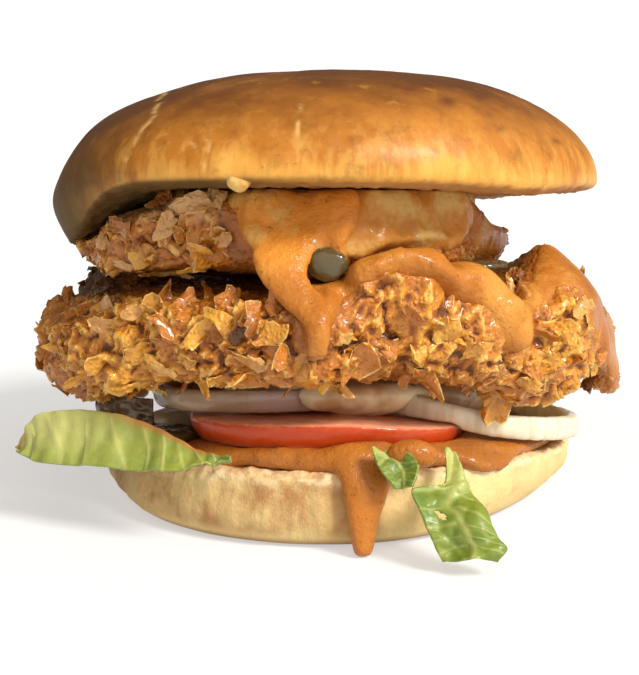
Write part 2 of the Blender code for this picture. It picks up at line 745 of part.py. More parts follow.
def main():
    clear_scene()
    crust = material("bun_crust", (0.55, 0.25, 0.06), 0.42)
    pale_crust = material("bun_pale", (0.80, 0.56, 0.22), 0.65)
    chicken = material("crumb_coating", (0.55, 0.22, 0.045), 0.38)
    orange = material("burger_sauce", (0.58, 0.19, 0.04), 0.22)
    spiced = material("spiced_sauce", (0.50, 0.17, 0.04), 0.28)
    cheese = material("melted_cheese", (0.78, 0.48, 0.20), 0.25)
    cream = material("mayonnaise", (0.80, 0.62, 0.36), 0.25)
    onion = material("onion", (0.84, 0.74, 0.56), 0.22)
    tomato = material("tomato", (0.62, 0.06, 0.015), 0.22)
    pickle = material("pickle", (0.22, 0.20, 0.05), 0.25)
    pale_leaf = material("lettuce_pale", (0.50, 0.52, 0.13), 0.35)
    green_leaf = material("lettuce_green", (0.22, 0.34, 0.04), 0.35)

    heel = HEEL.build("bun_bottom", even_angles(38), pale_crust)
    crown = CROWN.build("bun_top", even_angles(38), crust)
    slice_ = tomato_slice(tomato)
    lower = LOWER.build("fillet_lower", even_angles(60), chicken)
    upper = cut_back(UPPER.build("fillet_upper", even_angles(46), chicken), crown, lower)

    ring_left = onion_piece(
        "onion_ring_left", (-16 * MM, -12 * MM), (20.5 * MM, 20.5 * MM), left_ring_foot,
        3.0 * MM, 5.0 * MM, onion)
    ring_right = onion_piece(
        "onion_ring_right", (28.5 * MM, -11.5 * MM), (21.5 * MM, 22.0 * MM), right_ring_foot,
        3.0 * MM, 5.2 * MM, onion)
    cut_back(ring_left, lower)
    cut_back(ring_right, slice_, heel, lower, ring_left)
    strip = onion_piece(
        "onion_strip_left", (-31 * MM, 11 * MM), (19.0 * MM, 22.0 * MM),
        lambda x, y: cut_face(x, y) + 3.4 * MM, 2.6 * MM, 4.8 * MM, onion, span=(130, 285), count=12)
    cut_back(strip, slice_, ring_left)

    leaf_left = left_leaf(pale_leaf)
    leaf_front = front_leaf(green_leaf)
    leaf_small = small_leaf(green_leaf)

    pickle_left = pickle_slice(
        "pickle_left", (-34.5 * MM, -23 * MM, 15.4 * MM), 8.0 * MM, 2.6 * MM, (-8, 3), pickle)
    cut_back(pickle_left, slice_)
    pickle_front = pickle_slice(
        "pickle_front", (-1.6 * MM, -48.4 * MM, 52.5 * MM), 4.0 * MM, 6.4 * MM, (12, 4), pickle,
        END_SECTION)
    pickle_right = pickle_slice(
        "pickle_right", (26.5 * MM, -21.5 * MM, 49.6 * MM), 8.5 * MM, 2.0 * MM, (-5, 0), pickle)
    for piece in (pickle_front, pickle_right):
        cut_back(piece, upper, lower)

    melted = cut_back(cheese_slice(cheese), upper, crown)
    flowing = cut_back(top_sauce(orange), upper, melted, crown, lower, pickle_front)
    between = cut_back(middle_sauce(orange), lower, upper, flowing, pickle_front, pickle_right)
    spread = cut_back(
        base_sauce(spiced), heel, slice_, ring_right, strip, pickle_left, leaf_left, leaf_front, leaf_small)
    dressing = cut_back(mayonnaise(cream), lower, slice_, ring_right, ring_left, strip, spread)
    for piece, share in ((melted, 0.45), (flowing, 0.42), (between, 0.38), (spread, 0.38), (dressing, 0.4)):
        lighter(piece, share)


main()
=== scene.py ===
import json
import math

import bmesh
import bpy
import numpy as np
from bpy.props import FloatProperty, FloatVectorProperty, IntProperty, PointerProperty
from mathutils import Matrix, Vector
from mathutils.bvhtree import BVHTree

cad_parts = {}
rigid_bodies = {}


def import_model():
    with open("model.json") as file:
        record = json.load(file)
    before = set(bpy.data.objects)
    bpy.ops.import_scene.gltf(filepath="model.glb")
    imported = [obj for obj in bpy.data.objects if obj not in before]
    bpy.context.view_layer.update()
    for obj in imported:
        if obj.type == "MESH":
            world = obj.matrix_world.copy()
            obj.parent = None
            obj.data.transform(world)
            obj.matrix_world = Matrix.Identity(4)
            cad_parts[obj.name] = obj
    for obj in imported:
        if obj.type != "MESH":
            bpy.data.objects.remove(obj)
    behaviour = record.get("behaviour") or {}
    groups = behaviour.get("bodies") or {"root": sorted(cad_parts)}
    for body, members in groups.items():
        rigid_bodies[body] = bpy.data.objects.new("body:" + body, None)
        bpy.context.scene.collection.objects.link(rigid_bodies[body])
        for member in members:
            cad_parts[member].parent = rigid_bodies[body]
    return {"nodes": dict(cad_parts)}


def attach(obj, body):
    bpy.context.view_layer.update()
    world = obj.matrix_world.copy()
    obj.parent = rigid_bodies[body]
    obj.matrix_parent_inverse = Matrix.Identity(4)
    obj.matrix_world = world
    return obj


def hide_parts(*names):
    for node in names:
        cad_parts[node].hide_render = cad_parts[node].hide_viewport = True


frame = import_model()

bl_info = {
    "name": "Chicken burger",
    "version": (1, 0, 0),
    "blender": (4, 5, 0),
    "location": "3D View > Sidebar > Burger",
    "description": "Dresses the burger's solids: bun, crumb coating, sauces, cheese, salad and studio",
    "category": "Object",
}

MM = 0.001
OVER_TABLE = 0.05 * MM  # the least height of a sauce


# ---------------------------------------------------------------- settings

def colour(name, description, *value):
    return FloatVectorProperty(
        name=name, description=description, subtype="COLOR", size=3, min=0, max=1, default=value)


def length(name, description, millimetres):
    return FloatProperty(name=name, description=description, unit="LENGTH", min=0, default=millimetres * MM)


def share(name, description, value):
    return FloatProperty(name=name, description=description, subtype="FACTOR", min=0, max=1, default=value)


def angle(name, description, radians):
    return FloatProperty(name=name, description=description, subtype="ANGLE", default=radians)


class BunSettings(bpy.types.PropertyGroup):
    crown: colour("Crown", "Darkest baked colour, on top of the upper bun", 0.125, 0.038, 0.004)
    side: colour("Side", "Golden brown of the upper bun's side", 0.50, 0.180, 0.022)
    band: colour("Band", "Pale gold just above the cut", 0.80, 0.385, 0.07)
    # Painted shade: laid over the drooping left end and the underside at the left, where the upper bun lies in
    # shade
    dark: colour("Dark", "Nearly black brown of the drooping left end", 0.075, 0.038, 0.007)
    crumb: colour("Crumb", "Soft inside of both buns", 0.62, 0.34, 0.12)
    heel: colour("Heel", "Pale side of the lower bun", 0.86, 0.66, 0.29)
    toast: colour("Toast", "Browned patches of the lower bun", 0.46, 0.225, 0.07)
    mesh: length("Mesh", "Spacing of the bun's surface points", 0.64)
    wrinkle: length("Wrinkle", "Depth of the fine upright wrinkles", 0.06)


class CoatingSettings(bpy.types.PropertyGroup):
    # Painted shade: laid in the hollows of the coating and where little space lies open in front of it
    deep: colour("Crevice", "Coating in the hollows", 0.12, 0.030, 0.004)
    brown: colour("Brown", "Darkest flakes", 0.27, 0.070, 0.007)
    amber: colour("Amber", "Most flakes", 0.54, 0.175, 0.014)
    gold: colour("Gold", "Lightest flakes", 0.80, 0.38, 0.040)
    edge: colour("Edge", "Thin rims of the flakes", 0.95, 0.66, 0.21)
    tan: colour("Tan", "Dry flakes on the upper fillet", 0.70, 0.38, 0.14)
    mesh: length("Mesh", "Spacing of the coating's surface points", 0.57)
    flake: length("Flake", "Half breadth of a large flake", 4.2)
    spacing: length("Spacing", "Least distance between large flakes", 3.8)
    tilt: angle("Tilt", "Most that a flake stands up", 0.60)
    seed: IntProperty(name="Seed", description="Changes where the flakes fall", default=4)


class SauceSettings(bpy.types.PropertyGroup):
    orange: colour("Orange", "Burger sauce", 0.49, 0.170, 0.024)
    light: colour("Light", "Paler streaks of the burger sauce", 0.66, 0.29, 0.05)
    thin: colour("Thin", "Burger sauce where it is thin or oily", 0.42, 0.130, 0.012)
    glaze: colour("Glaze", "Thin sauce soaked into the coating", 0.50, 0.155, 0.018)
    spiced: colour("Spiced", "Spiced sauce on the lower bun", 0.39, 0.135, 0.024)
    speck: colour("Speck", "Spice in the sauces", 0.16, 0.035, 0.012)
    cheese: colour("Cheese", "Melted cheese", 0.72, 0.46, 0.14)
    stain: colour("Stain", "Brown stains in the cheese", 0.58, 0.225, 0.028)
    mayonnaise: colour("Mayonnaise", "Pale dressing on the tomato", 0.97, 0.82, 0.52)
    mesh: length("Mesh", "Spacing of the sauces' surface points", 0.6)
    swell: length("Swell", "How far the sauces stand over their solids", 0.5)


class SaladSettings(bpy.types.PropertyGroup):
    onion: colour("Onion", "Flesh of the onion", 0.90, 0.80, 0.60)
    onion_line: colour("Onion line", "Lines that run through the onion", 0.78, 0.66, 0.46)
    tomato: colour("Tomato skin", "Skin of the tomato", 0.54, 0.056, 0.008)
    flesh: colour("Tomato flesh", "Cut face of the tomato", 0.95, 0.36, 0.20)
    pickle: colour("Pickle", "Flesh of the gherkin", 0.115, 0.088, 0.034)
    pale_leaf: colour("Pale leaf", "Rib of the lettuce", 0.62, 0.61, 0.21)
    leaf: colour("Leaf", "Blade of the pale lettuce", 0.33, 0.37, 0.06)
    green_leaf: colour("Green leaf", "Blade of the darker lettuce", 0.21, 0.27, 0.028)
    mesh: length("Mesh", "Spacing of the salad's surface points", 0.45)


class StageSettings(bpy.types.PropertyGroup):
    floor: colour("Floor", "The table", 0.48, 0.48, 0.48)
    glow: share("Glow", "Share of the table's white that doesn't depend on the light", 0.49)
    sun: FloatProperty(name="Sun", description="Strength of the key light", min=0, default=3.3)
    sky: share("Sky", "Strength of the light from the dark side", 0.16)
    turn: angle("Turn", "Turn of the key light to the right", 0.88)
    height: angle("Height", "Key light over the horizon", 0.72)


# ---------------------------------------------------------------- node and mesh helpers

def add_node(tree, kind, inputs, **settings):
    """A node with its settings, its inputs given as values or linked from sockets."""
    made = tree.nodes.new(kind)
    for key, value in settings.items():
        setattr(made, key, value)
    for key, value in inputs.items():
        if isinstance(value, bpy.types.NodeSocket):
            tree.links.new(value, made.inputs[key])
        else:
            made.inputs[key].default_value = value
    return made


def mark_mesh(mesh, marks):
    """Stores a number for each point under each label."""
    for label, values in marks.items():
        mesh.attributes.new(label, "FLOAT", "POINT").data.foreach_set("value", np.asarray(values, np.float32))


def new_mesh(name, points, faces, finish=None, marks=None):
    mesh = bpy.data.meshes.new(name)
    mesh.from_pydata(points.tolist(), [], faces)
    mark_mesh(mesh, marks or {})
    if finish:
        mesh.materials.append(finish)
    return mesh


def reshaped(mesh, change):
    """The mesh after a change to it that works on a bmesh."""
    shape = bmesh.new()
    shape.from_mesh(mesh)
    change(shape)
    shape.to_mesh(mesh)
    shape.free()
    return mesh


def face_outward(mesh):
    return reshaped(mesh, lambda shape: bmesh.ops.recalc_face_normals(shape, faces=shape.faces))


def crisp_edged(mesh):
    """Shades smooth up to this angle and keeps sharper edges."""
    mesh.shade_smooth()
    mesh.set_sharp_from_angle(angle=math.radians(55))
    return mesh


def ellipsoid_mesh(name, centre, halves):
    """An ellipsoid with this centre and these half lengths, in millimetres."""
    def grow(shape):
        bmesh.ops.create_icosphere(shape, subdivisions=4, radius=1.0)
        placed = Matrix.LocRotScale(Vector(centre) * MM, None, Vector(halves) * MM)
        bmesh.ops.transform(shape, matrix=placed, verts=shape.verts)
    return reshaped(bpy.data.meshes.new(name), grow)


# ---------------------------------------------------------------- number helpers

def ease(value, low=0.0, high=1.0):
    """0 below low, 1 above high and an even S between."""
    value = np.clip((value - low) / (high - low), 0.0, 1.0)
    return value * value * (3 - 2 * value)


def unit(vectors):
    """The vectors at length one."""
    return vectors / np.maximum(np.linalg.norm(vectors, axis=-1, keepdims=True), 1e-15)


def bell(offset, width):
    return np.exp(-((offset / width) ** 2))


def scrambled(cell, seed):
    """A number that looks random for each whole-numbered cell."""
    mixed = cell @ np.array([374761393, 668265263, 1274126177]) + seed * 974634777 & 0xFFFFFFFF
    mixed = ((mixed ^ (mixed >> 13)) * 1274126177) & 0xFFFFFFFF
    return mixed ^ (mixed >> 16)


def thirds(mixed):
    """Three numbers from 0 to 1 out of one scrambled number."""
    return np.stack([mixed & 1023, (mixed >> 10) & 1023, (mixed >> 20) & 1023], 1) / 1023


def noise(points, size, seed=0):
    """Smooth noise between about -1 and 1, with lumps of this size."""
    place = points / size + 0.37 * seed
    base = np.floor(place).astype(np.int64)
    part = place - base
    fade = part ** 3 * (part * (part * 6 - 15) + 10)
    total = np.zeros(len(points))
    for corner in np.ndindex(2, 2, 2):
        lean = 2 * thirds(scrambled(base + corner, seed)) - 1
        weight = np.prod(np.where(corner, fade, 1 - fade), axis=1)
        total += weight * ((part - corner) * lean).sum(1)
    return 1.5 * total


def layered(points, size, seed=0, octaves=3):
    return sum(noise(points, size / 2 ** k, seed + k) / 2 ** k for k in range(octaves))


def cells(points, size, seed=0):
    """Of one random spot in each cell: the way to each point from its nearest spot, and that spot's code."""
    place = points / size
    base = np.floor(place).astype(np.int64)
    near = np.full(len(points), 9.0)
    away, code = np.zeros_like(place), np.zeros(len(points), np.int64)
    for shift in np.ndindex(3, 3, 3):
        cell = base + shift - 1
        mixed = scrambled(cell, seed)
        offset = place - cell - thirds(mixed)
        distance = np.linalg.norm(offset, axis=1)
        closer = distance < near
        near = np.where(closer, distance, near)
        away = np.where(closer[:, None], offset, away)
        code = np.where(closer, mixed, code)
    return away, code


def wandering(points, size, seed):
    """A smooth random shift of each point, about one unit long."""
    return np.stack([noise(points, size, seed + k) for k in range(3)], 1)


def plates(points, size, seed):
    """Height, in parts of size, of flat plates that each lean their own way and end in ledges."""
    away, code = cells(points + 0.2 * size * wandering(points, 0.4 * size, seed + 90), size, seed)
    lean = 2 * thirds(scrambled(np.stack([code, code >> 7, code >> 13], 1), seed + 5)) - 1
    return 0.35 * ((code & 255) / 255 - 0.5) + 0.8 * (away * lean).sum(1)


EYE = np.array([-3.0, -280.0, 87.0]) * MM  # where the camera stands
LOOK_DOWN = 11.4  # degrees from level
SHEET = -50 * MM  # the y of an upright sheet on which outlines are drawn


def on_sheet(points):
    """Where each point shows on the upright sheet, as (x, z), seen from the eye."""
    share = (SHEET - EYE[1]) / (points[:, 1] - EYE[1])
    return EYE[[0, 2]] + (points[:, [0, 2]] - EYE[[0, 2]]) * share[:, None]


def ridges(points, size, seed):
    """Narrow crests from 0 to 1 that wander over the surface."""
    bent = points + 0.3 * size * wandering(points, 0.5 * size, seed + 9)
    return (1 - np.minimum(np.abs(noise(bent, size, seed)) * 3, 1)) ** 2


def inside(points, *corners):
    """How far each point lies inside an outline of (x, z) corners in millimetres on the sheet."""
    x, z = on_sheet(points).T / MM
    nearest, within = np.full(len(points), 1e3), np.zeros(len(points), bool)
    for (x0, z0), (x1, z1) in zip(corners, corners[1:] + corners[:1]):
        run, rise = x1 - x0, z1 - z0
        part = np.clip(((x - x0) * run + (z - z0) * rise) / (run * run + rise * rise), 0, 1)
        nearest = np.minimum(nearest, np.hypot(x - x0 - part * run, z - z0 - part * rise))
        if rise:
            within ^= ((z0 > z) != (z1 > z)) & (x < x0 + (z - z0) / rise * run)
    return np.where(within, nearest, -nearest) * MM


def along_path(points, stops):
    """Distance from each point to a chain of straight lines through the stops."""
    nearest = np.full(len(points), 9.0)
    for start, end in zip(stops, stops[1:]):
        start, run = np.array(start), np.array(end) - np.array(start)
        part = np.clip(((points - start) @ run) / (run @ run), 0, 1)
        nearest = np.minimum(nearest, np.linalg.norm(points - start - part[:, None] * run, axis=1))
    return nearest


# ---------------------------------------------------------------- skins

class Skin:
    """A closed mesh of triangles, held as arrays while it is shaped."""

    def __init__(self, mesh):
        mesh.calc_loop_triangles()
        self.points = np.zeros(len(mesh.vertices) * 3)
        mesh.vertices.foreach_get("co", self.points)
        self.points = self.points.reshape(-1, 3)
        self.faces = np.zeros(len(mesh.loop_triangles) * 3, np.int32)
        mesh.loop_triangles.foreach_get("vertices", self.faces)
        self.faces = self.faces.reshape(-1, 3)
        self.marks = {}

    def normals(self):
        a, b, c = (self.points[self.faces[:, k]] for k in range(3))
        flat = np.cross(b - a, c - a)
        total = np.zeros_like(self.points)
        for k in range(3):
            for axis in range(3):
                total[:, axis] += np.bincount(self.faces[:, k], flat[:, axis], len(self.points))
        return unit(total)

    def relax(self, rounds, amount=0.5):
        ends = np.concatenate([self.faces[:, [0, 1]], self.faces[:, [1, 2]], self.faces[:, [2, 0]]])
        count = np.maximum(np.bincount(ends[:, 0], minlength=len(self.points)), 1)
        for _ in range(rounds):
            for axis in range(3):
                mean = np.bincount(ends[:, 0], self.points[ends[:, 1], axis], len(self.points)) / count
                self.points[:, axis] += amount * (mean - self.points[:, axis])
        return self

    def swell(self, depth):
        """Moves every point out by depth, one number or one for each point."""
        self.points = self.points + np.reshape(depth * np.ones(len(self.points)), (-1, 1)) * self.normals()
        return self

    def lift_over(self, height):
        """Keeps every point at least this high."""
        self.points[:, 2] = np.maximum(self.points[:, 2], height)
        return self

    def copy(self):
        twin = object.__new__(Skin)
        twin.points, twin.faces, twin.marks = self.points.copy(), self.faces, dict(self.marks)
        return twin


def linked(name, mesh):
    made = bpy.data.objects.new(name, mesh)
    bpy.context.scene.collection.objects.link(made)
    return made


def evaluated(source):
    """The mesh that an object's modifiers make, with the object removed."""
    graph = bpy.context.evaluated_depsgraph_get()
    mesh = bpy.data.meshes.new_from_object(source.evaluated_get(graph))
    bpy.data.objects.remove(source)
    return mesh


def merged(node):
    """A copy of a node's solid with the doubled corners of its faces made one."""
    return reshaped(frame["nodes"][node].data.copy(), lambda shape: bmesh.ops.remove_doubles(
        shape, verts=shape.verts, dist=0.004 * MM))


def evened(source, spacing, rounds):
    """An object's skin with evenly spaced points."""
    even = source.modifiers.new("even", "REMESH")
    even.mode = "VOXEL"
    even.voxel_size = spacing
    return Skin(evaluated(source)).relax(rounds)


def fine_skin(node, spacing, rounds=4, rounded=2):
    """A node's solid, rounded off and covered with evenly spaced points."""
    source = linked("rough_" + node, merged(node))
    if rounded:
        soft = source.modifiers.new("rounded", "SUBSURF")
        soft.levels = soft.render_levels = rounded
    return evened(source, spacing, rounds)


def settle(piece, slot, *nodes):
    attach(piece, "root")
    if nodes:
        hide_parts(*nodes)
    return piece


def mesh_of(name, skin, finish):
    mesh = new_mesh(name, skin.points, skin.faces.tolist(), finish, skin.marks)
    mesh.shade_smooth()
    return mesh


def piece_of(name, skin, finish, slot, *nodes):
    return settle(linked(name, mesh_of(name, skin, finish)), slot, *nodes)


# ---------------------------------------------------------------- finishes

class Finish:
    """A material put together from nodes, on the object's own coordinates in metres."""

    def __init__(self, name, rough, shine=0.5, coat=(), depth=()):
        """A coat has a weight and a roughness, and depth a weight, a scale and how far each colour goes in."""
        self.material = bpy.data.materials.new(name)
        self.material.use_nodes = True
        self.tree = self.material.node_tree
        self.shader = self.tree.nodes["Principled BSDF"]
        self.coords = self.tree.nodes.new("ShaderNodeTexCoord").outputs["Object"]
        given = (("Roughness", rough), ("Specular IOR Level", shine),
                 *zip(("Coat Weight", "Coat Roughness"), coat),
                 *zip(("Subsurface Weight", "Subsurface Scale", "Subsurface Radius"), depth))
        for socket, value in given:
            self.shader.inputs[socket].default_value = value

    def node(self, kind, inputs, **settings):
        return add_node(self.tree, kind, inputs, **settings)

    def mark(self, label):
        return self.node("ShaderNodeAttribute", {}, attribute_name=label).outputs["Fac"]

    def axis(self, name):
        return self.node("ShaderNodeSeparateXYZ", {0: self.coords}).outputs[name]

    def stretched(self, x, y, z):
        """The coordinates scaled along each axis."""
        return self.node("ShaderNodeMapping", {0: self.coords, 3: (x, y, z)}).outputs[0]

    def grain(self, size, detail=2.0, rough=0.5, coords=None):
        """Cloudy noise from 0 to 1 with lumps of about this size."""
        inputs = {"Vector": coords or self.coords, "Scale": 0.6 / size, "Detail": detail, "Roughness": rough}
        return self.node("ShaderNodeTexNoise", inputs).outputs["Fac"]

    def dots(self, size):
        """Distance to the nearest of scattered points that lie about this far apart."""
        inputs = {"Vector": self.coords, "Scale": 1.0 / size}
        return self.node("ShaderNodeTexVoronoi", inputs).outputs["Distance"]

    def span(self, value, low, high, start=0.0, end=1.0):
        inputs = {"Value": value, "From Min": low, "From Max": high, "To Min": start, "To Max": end}
        return self.node("ShaderNodeMapRange", inputs, interpolation_type="SMOOTHSTEP").outputs["Result"]

    def calc(self, operation, *values):
        return self.node("ShaderNodeMath", dict(enumerate(values)), operation=operation).outputs[0]

    def times(self, *values):
        return self.calc("MULTIPLY", *values)

    def blend(self, amount, first, second):
        made = self.node("ShaderNodeMix", {0: amount}, data_type="RGBA")
        for index, value in ((6, first), (7, second)):
            if isinstance(value, bpy.types.NodeSocket):
                self.tree.links.new(value, made.inputs[index])
            else:
                made.inputs[index].default_value = (*value[:3], 1.0)
        return made.outputs[2]

    def relief(self, height, depth, under=None):
        inputs = {"Height": height, "Distance": depth, "Strength": 1.0}
        if under is not None:
            inputs["Normal"] = under
        return self.node("ShaderNodeBump", inputs).outputs[0]

    def over(self, amount, tint):
        """Lays a tint over what the surface shows so far."""
        self.base = self.blend(amount, self.base, tint)

    def done(self, normal=None, rough=None):
        for socket, value in (("Base Color", self.base), ("Roughness", rough), ("Normal", normal)):
            if value is not None:
                self.tree.links.new(value, self.shader.inputs[socket])
        return self.material


# ---------------------------------------------------------------- buns

CROWN_CENTRE = np.array([-2.9 * MM, 0.0])
CROWN_RADIUS = 58.0 * MM
HEEL_CENTRE = np.array([1.4 * MM, 0.0])
HEEL_RADIUS = 50.0 * MM


def around(points, centre):
    """Bearing and distance of each point from an upright axis."""
    away = points[:, :2] - centre
    return np.arctan2(away[:, 1], away[:, 0]), np.hypot(away[:, 0], away[:, 1])


def rim_height(points, centre, radius):
    """Height of the lowest outer point on each point's bearing."""
    bearing, reach = around(points, centre)
    steps = 72
    index = ((bearing + math.pi) / (2 * math.pi) * steps).astype(int) % steps
    lowest = np.full(steps, np.inf)
    outer = reach > 0.93 * radius
    np.minimum.at(lowest, index[outer], points[outer, 2])
    lowest = np.array([lowest[[i - 1, i, (i + 1) % steps]].mean() for i in range(steps)])
    place = (bearing + math.pi) / (2 * math.pi) * steps - 0.5
    low = np.floor(place).astype(int)
    return lowest[low % steps] + (place - low) * (lowest[(low + 1) % steps] - lowest[low % steps])


def crown_finish(bun):
    paint = Finish("bun_crust", 0.42, shine=0.22, coat=(0.06, 0.22), depth=(0.05, 0.003, (1.0, 0.5, 0.2)))
    up, cut = paint.mark("up"), paint.mark("cut")
    cloud = paint.grain(13 * MM, 5.0, 0.6)
    baked = paint.calc("ADD", up, paint.times(paint.calc("SUBTRACT", cloud, 0.5), 0.8))
    streaks = paint.grain(1.7 * MM, 4.0, 0.65, paint.stretched(1, 1, 0.12))
    broad = paint.grain(5 * MM, 3.0, 0.6, paint.stretched(1, 1, 0.3))
    baked = paint.calc("ADD", baked, paint.times(paint.calc("SUBTRACT", broad, 0.5), -0.22))
    paint.base = paint.blend(paint.span(baked, 0.02, 0.30), bun.band, bun.side)
    paint.over(paint.span(baked, 0.26, 0.84), bun.crown)
    low = paint.span(up, 0.62, 0.05)
    paint.over(paint.times(paint.span(streaks, 0.45, 0.62), paint.times(low, 0.4)), (0.88, 0.52, 0.12))
    paint.over(paint.times(paint.span(streaks, 0.44, 0.30), paint.times(low, 0.4)), (0.36, 0.115, 0.010))
    mottle = paint.grain(2.6 * MM, 5.0, 0.65)
    paint.over(paint.span(mottle, 0.48, 0.75, 0.0, 0.45), bun.crown)
    paint.over(paint.span(mottle, 0.42, 0.25, 0.0, 0.35), bun.band)
    paint.over(paint.span(paint.dots(2.3 * MM), 0.09, 0.04, 0.0, 0.5), (0.15, 0.045, 0.010))
    paint.over(paint.mark("spot"), (0.13, 0.035, 0.008))
    paint.over(paint.times(paint.mark("crack"), 0.7), (0.80, 0.50, 0.17))
    line = paint.times(paint.span(up, 0.045, 0.005), 0.85)
    paint.over(line, (0.36, 0.09, 0.012))
    crumb = paint.blend(paint.grain(1.6 * MM, 4.0, 0.7), bun.crumb, (0.36, 0.13, 0.03))
    paint.over(cut, crumb)
    # Painted shade over the drooping left end and the underside at the left
    paint.over(paint.mark("shade"), bun.dark)
    rough = paint.span(paint.calc("MAXIMUM", cut, paint.mark("shade")), 0.0, 1.0, 0.42, 0.75)
    smooth = paint.times(low, paint.calc("SUBTRACT", 1.0, paint.mark("shade")))
    normal = paint.relief(paint.times(streaks, smooth), bun.wrinkle)
    normal = paint.relief(mottle, 0.14 * MM, normal)
    return paint.done(normal, rough)


def crown_skin(bun):
    skin = fine_skin("bun_top", bun.mesh, 5)
    rim = rim_height(skin.points, CROWN_CENTRE, CROWN_RADIUS)
    skin.swell(0.25 * MM * layered(skin.points, 20 * MM, 3) + 0.05 * MM * noise(skin.points, 3 * MM, 5))
    points = skin.points
    facing = skin.normals()
    reach = around(points, CROWN_CENTRE)[1]
    up = np.clip((points[:, 2] - rim) / (24 * MM), 0, 1)
    cut = ease(-facing[:, 2], 0.55, 0.8) * ease(reach, 0.985 * CROWN_RADIUS, 0.95 * CROWN_RADIUS)
    front = ease(-points[:, 1], 5 * MM, 15 * MM)
    shown = on_sheet(points) + 0.8 * MM * wandering(points, 5 * MM, 60)[:, :2]
    crack = np.zeros(len(points))
    for width, stops in (
        (0.36, [(-29.7, 83.7), (-31, 81.2), (-33.6, 77.7), (-35.7, 74.3), (-36.9, 72.6)]),
        (0.27, [(-6, 81.5), (-6.7, 78.2), (-6.4, 75.7), (-7.1, 72.2)]),
        (0.24, [(-22.9, 76.9), (-22.6, 73.9), (-23, 70.8)]), (0.20, [(-25.5, 75.7), (-24.7, 73.6)]),
    ):
        line = along_path(shown, [(x * MM, z * MM) for x, z in stops])
        crack = np.maximum(crack, front * bell(line, width * MM) * ease(noise(points, 2 * MM, 64), -0.5, 0.1))
    spot = np.zeros(len(points))
    for x, z, size, depth in ((19.2, 82.5, 1.4, 0.9), (12.5, 84.4, 0.8, 0.7), (25.1, 83.2, 0.9, 0.7),
                              (38.3, 75.2, 0.8, 0.7), (28.3, 77.7, 0.7, 0.6), (-43.2, 68.7, 0.9, 0.4)):
        away = np.linalg.norm((shown - np.array([x, z]) * MM) * (0.8, 1.3), axis=1)
        spot = np.maximum(spot, depth * front * bell(away, size * MM))
    left = ease(-(points[:, 0] + 22 * MM), 0, 36 * MM)
    shade = 0.93 * ease(left + 0.12 * layered(points, 9 * MM, 63), 0.15, 1.0) * ease(up, 1.05, 0.25)
    shade = np.maximum(shade, 0.9 * ease(-facing[:, 2], 0.15, 0.7) * ease(-points[:, 0], -10 * MM, 26 * MM))
    skin.marks = {"up": up, "cut": cut, "crack": crack * (1 - cut), "spot": spot, "shade": shade}
    torn = 0.5 * MM * layered(points, 2.4 * MM, 21) * cut
    tall = np.stack([points[:, 0], points[:, 1], 0.12 * points[:, 2]], 1)
    folds = 0.09 * MM * layered(tall, 2.6 * MM, 24) * ease(up, 0.7, 0.1) * (1 - cut) * (1 - shade)
    skin.swell(torn + folds - 0.16 * MM * crack - 0.12 * MM * spot)
    return skin


def heel_finish(bun):
    paint = Finish("bun_pale", 0.6, depth=(0.12, 0.003, (1.0, 0.6, 0.3)))
    up, cut = paint.mark("up"), paint.mark("cut")
    cloud = paint.grain(9 * MM, 4.0, 0.6)
    fine = paint.grain(1.3 * MM, 5.0, 0.7)
    paint.base = paint.blend(paint.span(cloud, 0.40, 0.7, 0.0, 0.6), bun.heel, (0.74, 0.49, 0.18))
    streaks = paint.grain(2.6 * MM, 5.0, 0.7, paint.stretched(1, 1, 0.75))
    mixed = paint.times(paint.mark("toast"), paint.span(streaks, 0.30, 0.62, 0.45, 1.0))
    paint.over(mixed, bun.toast)
    paint.over(paint.span(fine, 0.55, 0.8, 0.0, 0.35), (0.88, 0.70, 0.40))
    paint.over(paint.mark("torn"), (0.86, 0.68, 0.42))
    line = paint.times(paint.span(up, 0.17, 0.03), 0.85)
    paint.over(line, (0.34, 0.14, 0.03))
    crumb = paint.blend(paint.span(fine, 0.3, 0.7), bun.crumb, (0.86, 0.66, 0.38))
    paint.over(cut, crumb)
    normal = paint.relief(fine, 0.32 * MM)
    normal = paint.relief(streaks, 0.6 * MM, normal)
    return paint.done(normal)


def heel_skin(bun):
    skin = fine_skin("bun_bottom", bun.mesh, 5)
    points = skin.points
    bearing, reach = around(points, HEEL_CENTRE)
    facing = skin.normals()
    turn = np.degrees(bearing)
    top = 9.2 * MM - np.where(points[:, 1] < 0, 0.118, 0.02) * points[:, 1]
    up = np.clip(points[:, 2] / np.maximum(top, 1 * MM), 0, 1)
    cut = ease(facing[:, 2], 0.3, 0.7) * ease(up, 0.6, 0.85)
    side = (1 - cut) * ease(up, 0.05, 0.3)
    left = ease(-(turn + 62) / 25.0) * ease((turn + 178) / 12.0)
    patch = ease(layered(points, 11 * MM, 31), -0.35, 0.45)
    toast = side * left * (0.42 + 0.58 * patch) * ease(up, 1.0, 0.8)
    toast = np.maximum(toast, side * 0.5 * ease(layered(points, 7 * MM, 33), 0.25, 0.7) * ease(-turn, 20, 60))
    folds = np.stack([points[:, 0], points[:, 1], points[:, 2] * 0.4], 1)
    dents = 0.55 * layered(folds, 9 * MM, 35) + 0.25 * layered(folds, 3.5 * MM, 36)
    lip = bell(up - 0.93, 0.10) * ease(reach, 0.85 * HEEL_RADIUS, 0.95 * HEEL_RADIUS)
    tear = lip * (0.9 * layered(points, 3.2 * MM, 38) + 0.15)
    flat = ease(points[:, 2], 0.2 * MM, 2.0 * MM)
    torn = lip * ease(layered(points, 2.6 * MM, 41), -0.25, 0.25) * ease(-turn, 10, 40)
    skin.marks = {"up": up, "cut": cut, "toast": np.clip(toast, 0, 1), "torn": torn}
    skin.swell((dents * side * 0.8 + tear + 0.4 * cut * layered(points, 2.2 * MM, 39)) * MM * flat)
    return skin.lift_over(0.0)


# ---------------------------------------------------------------- crumb coating

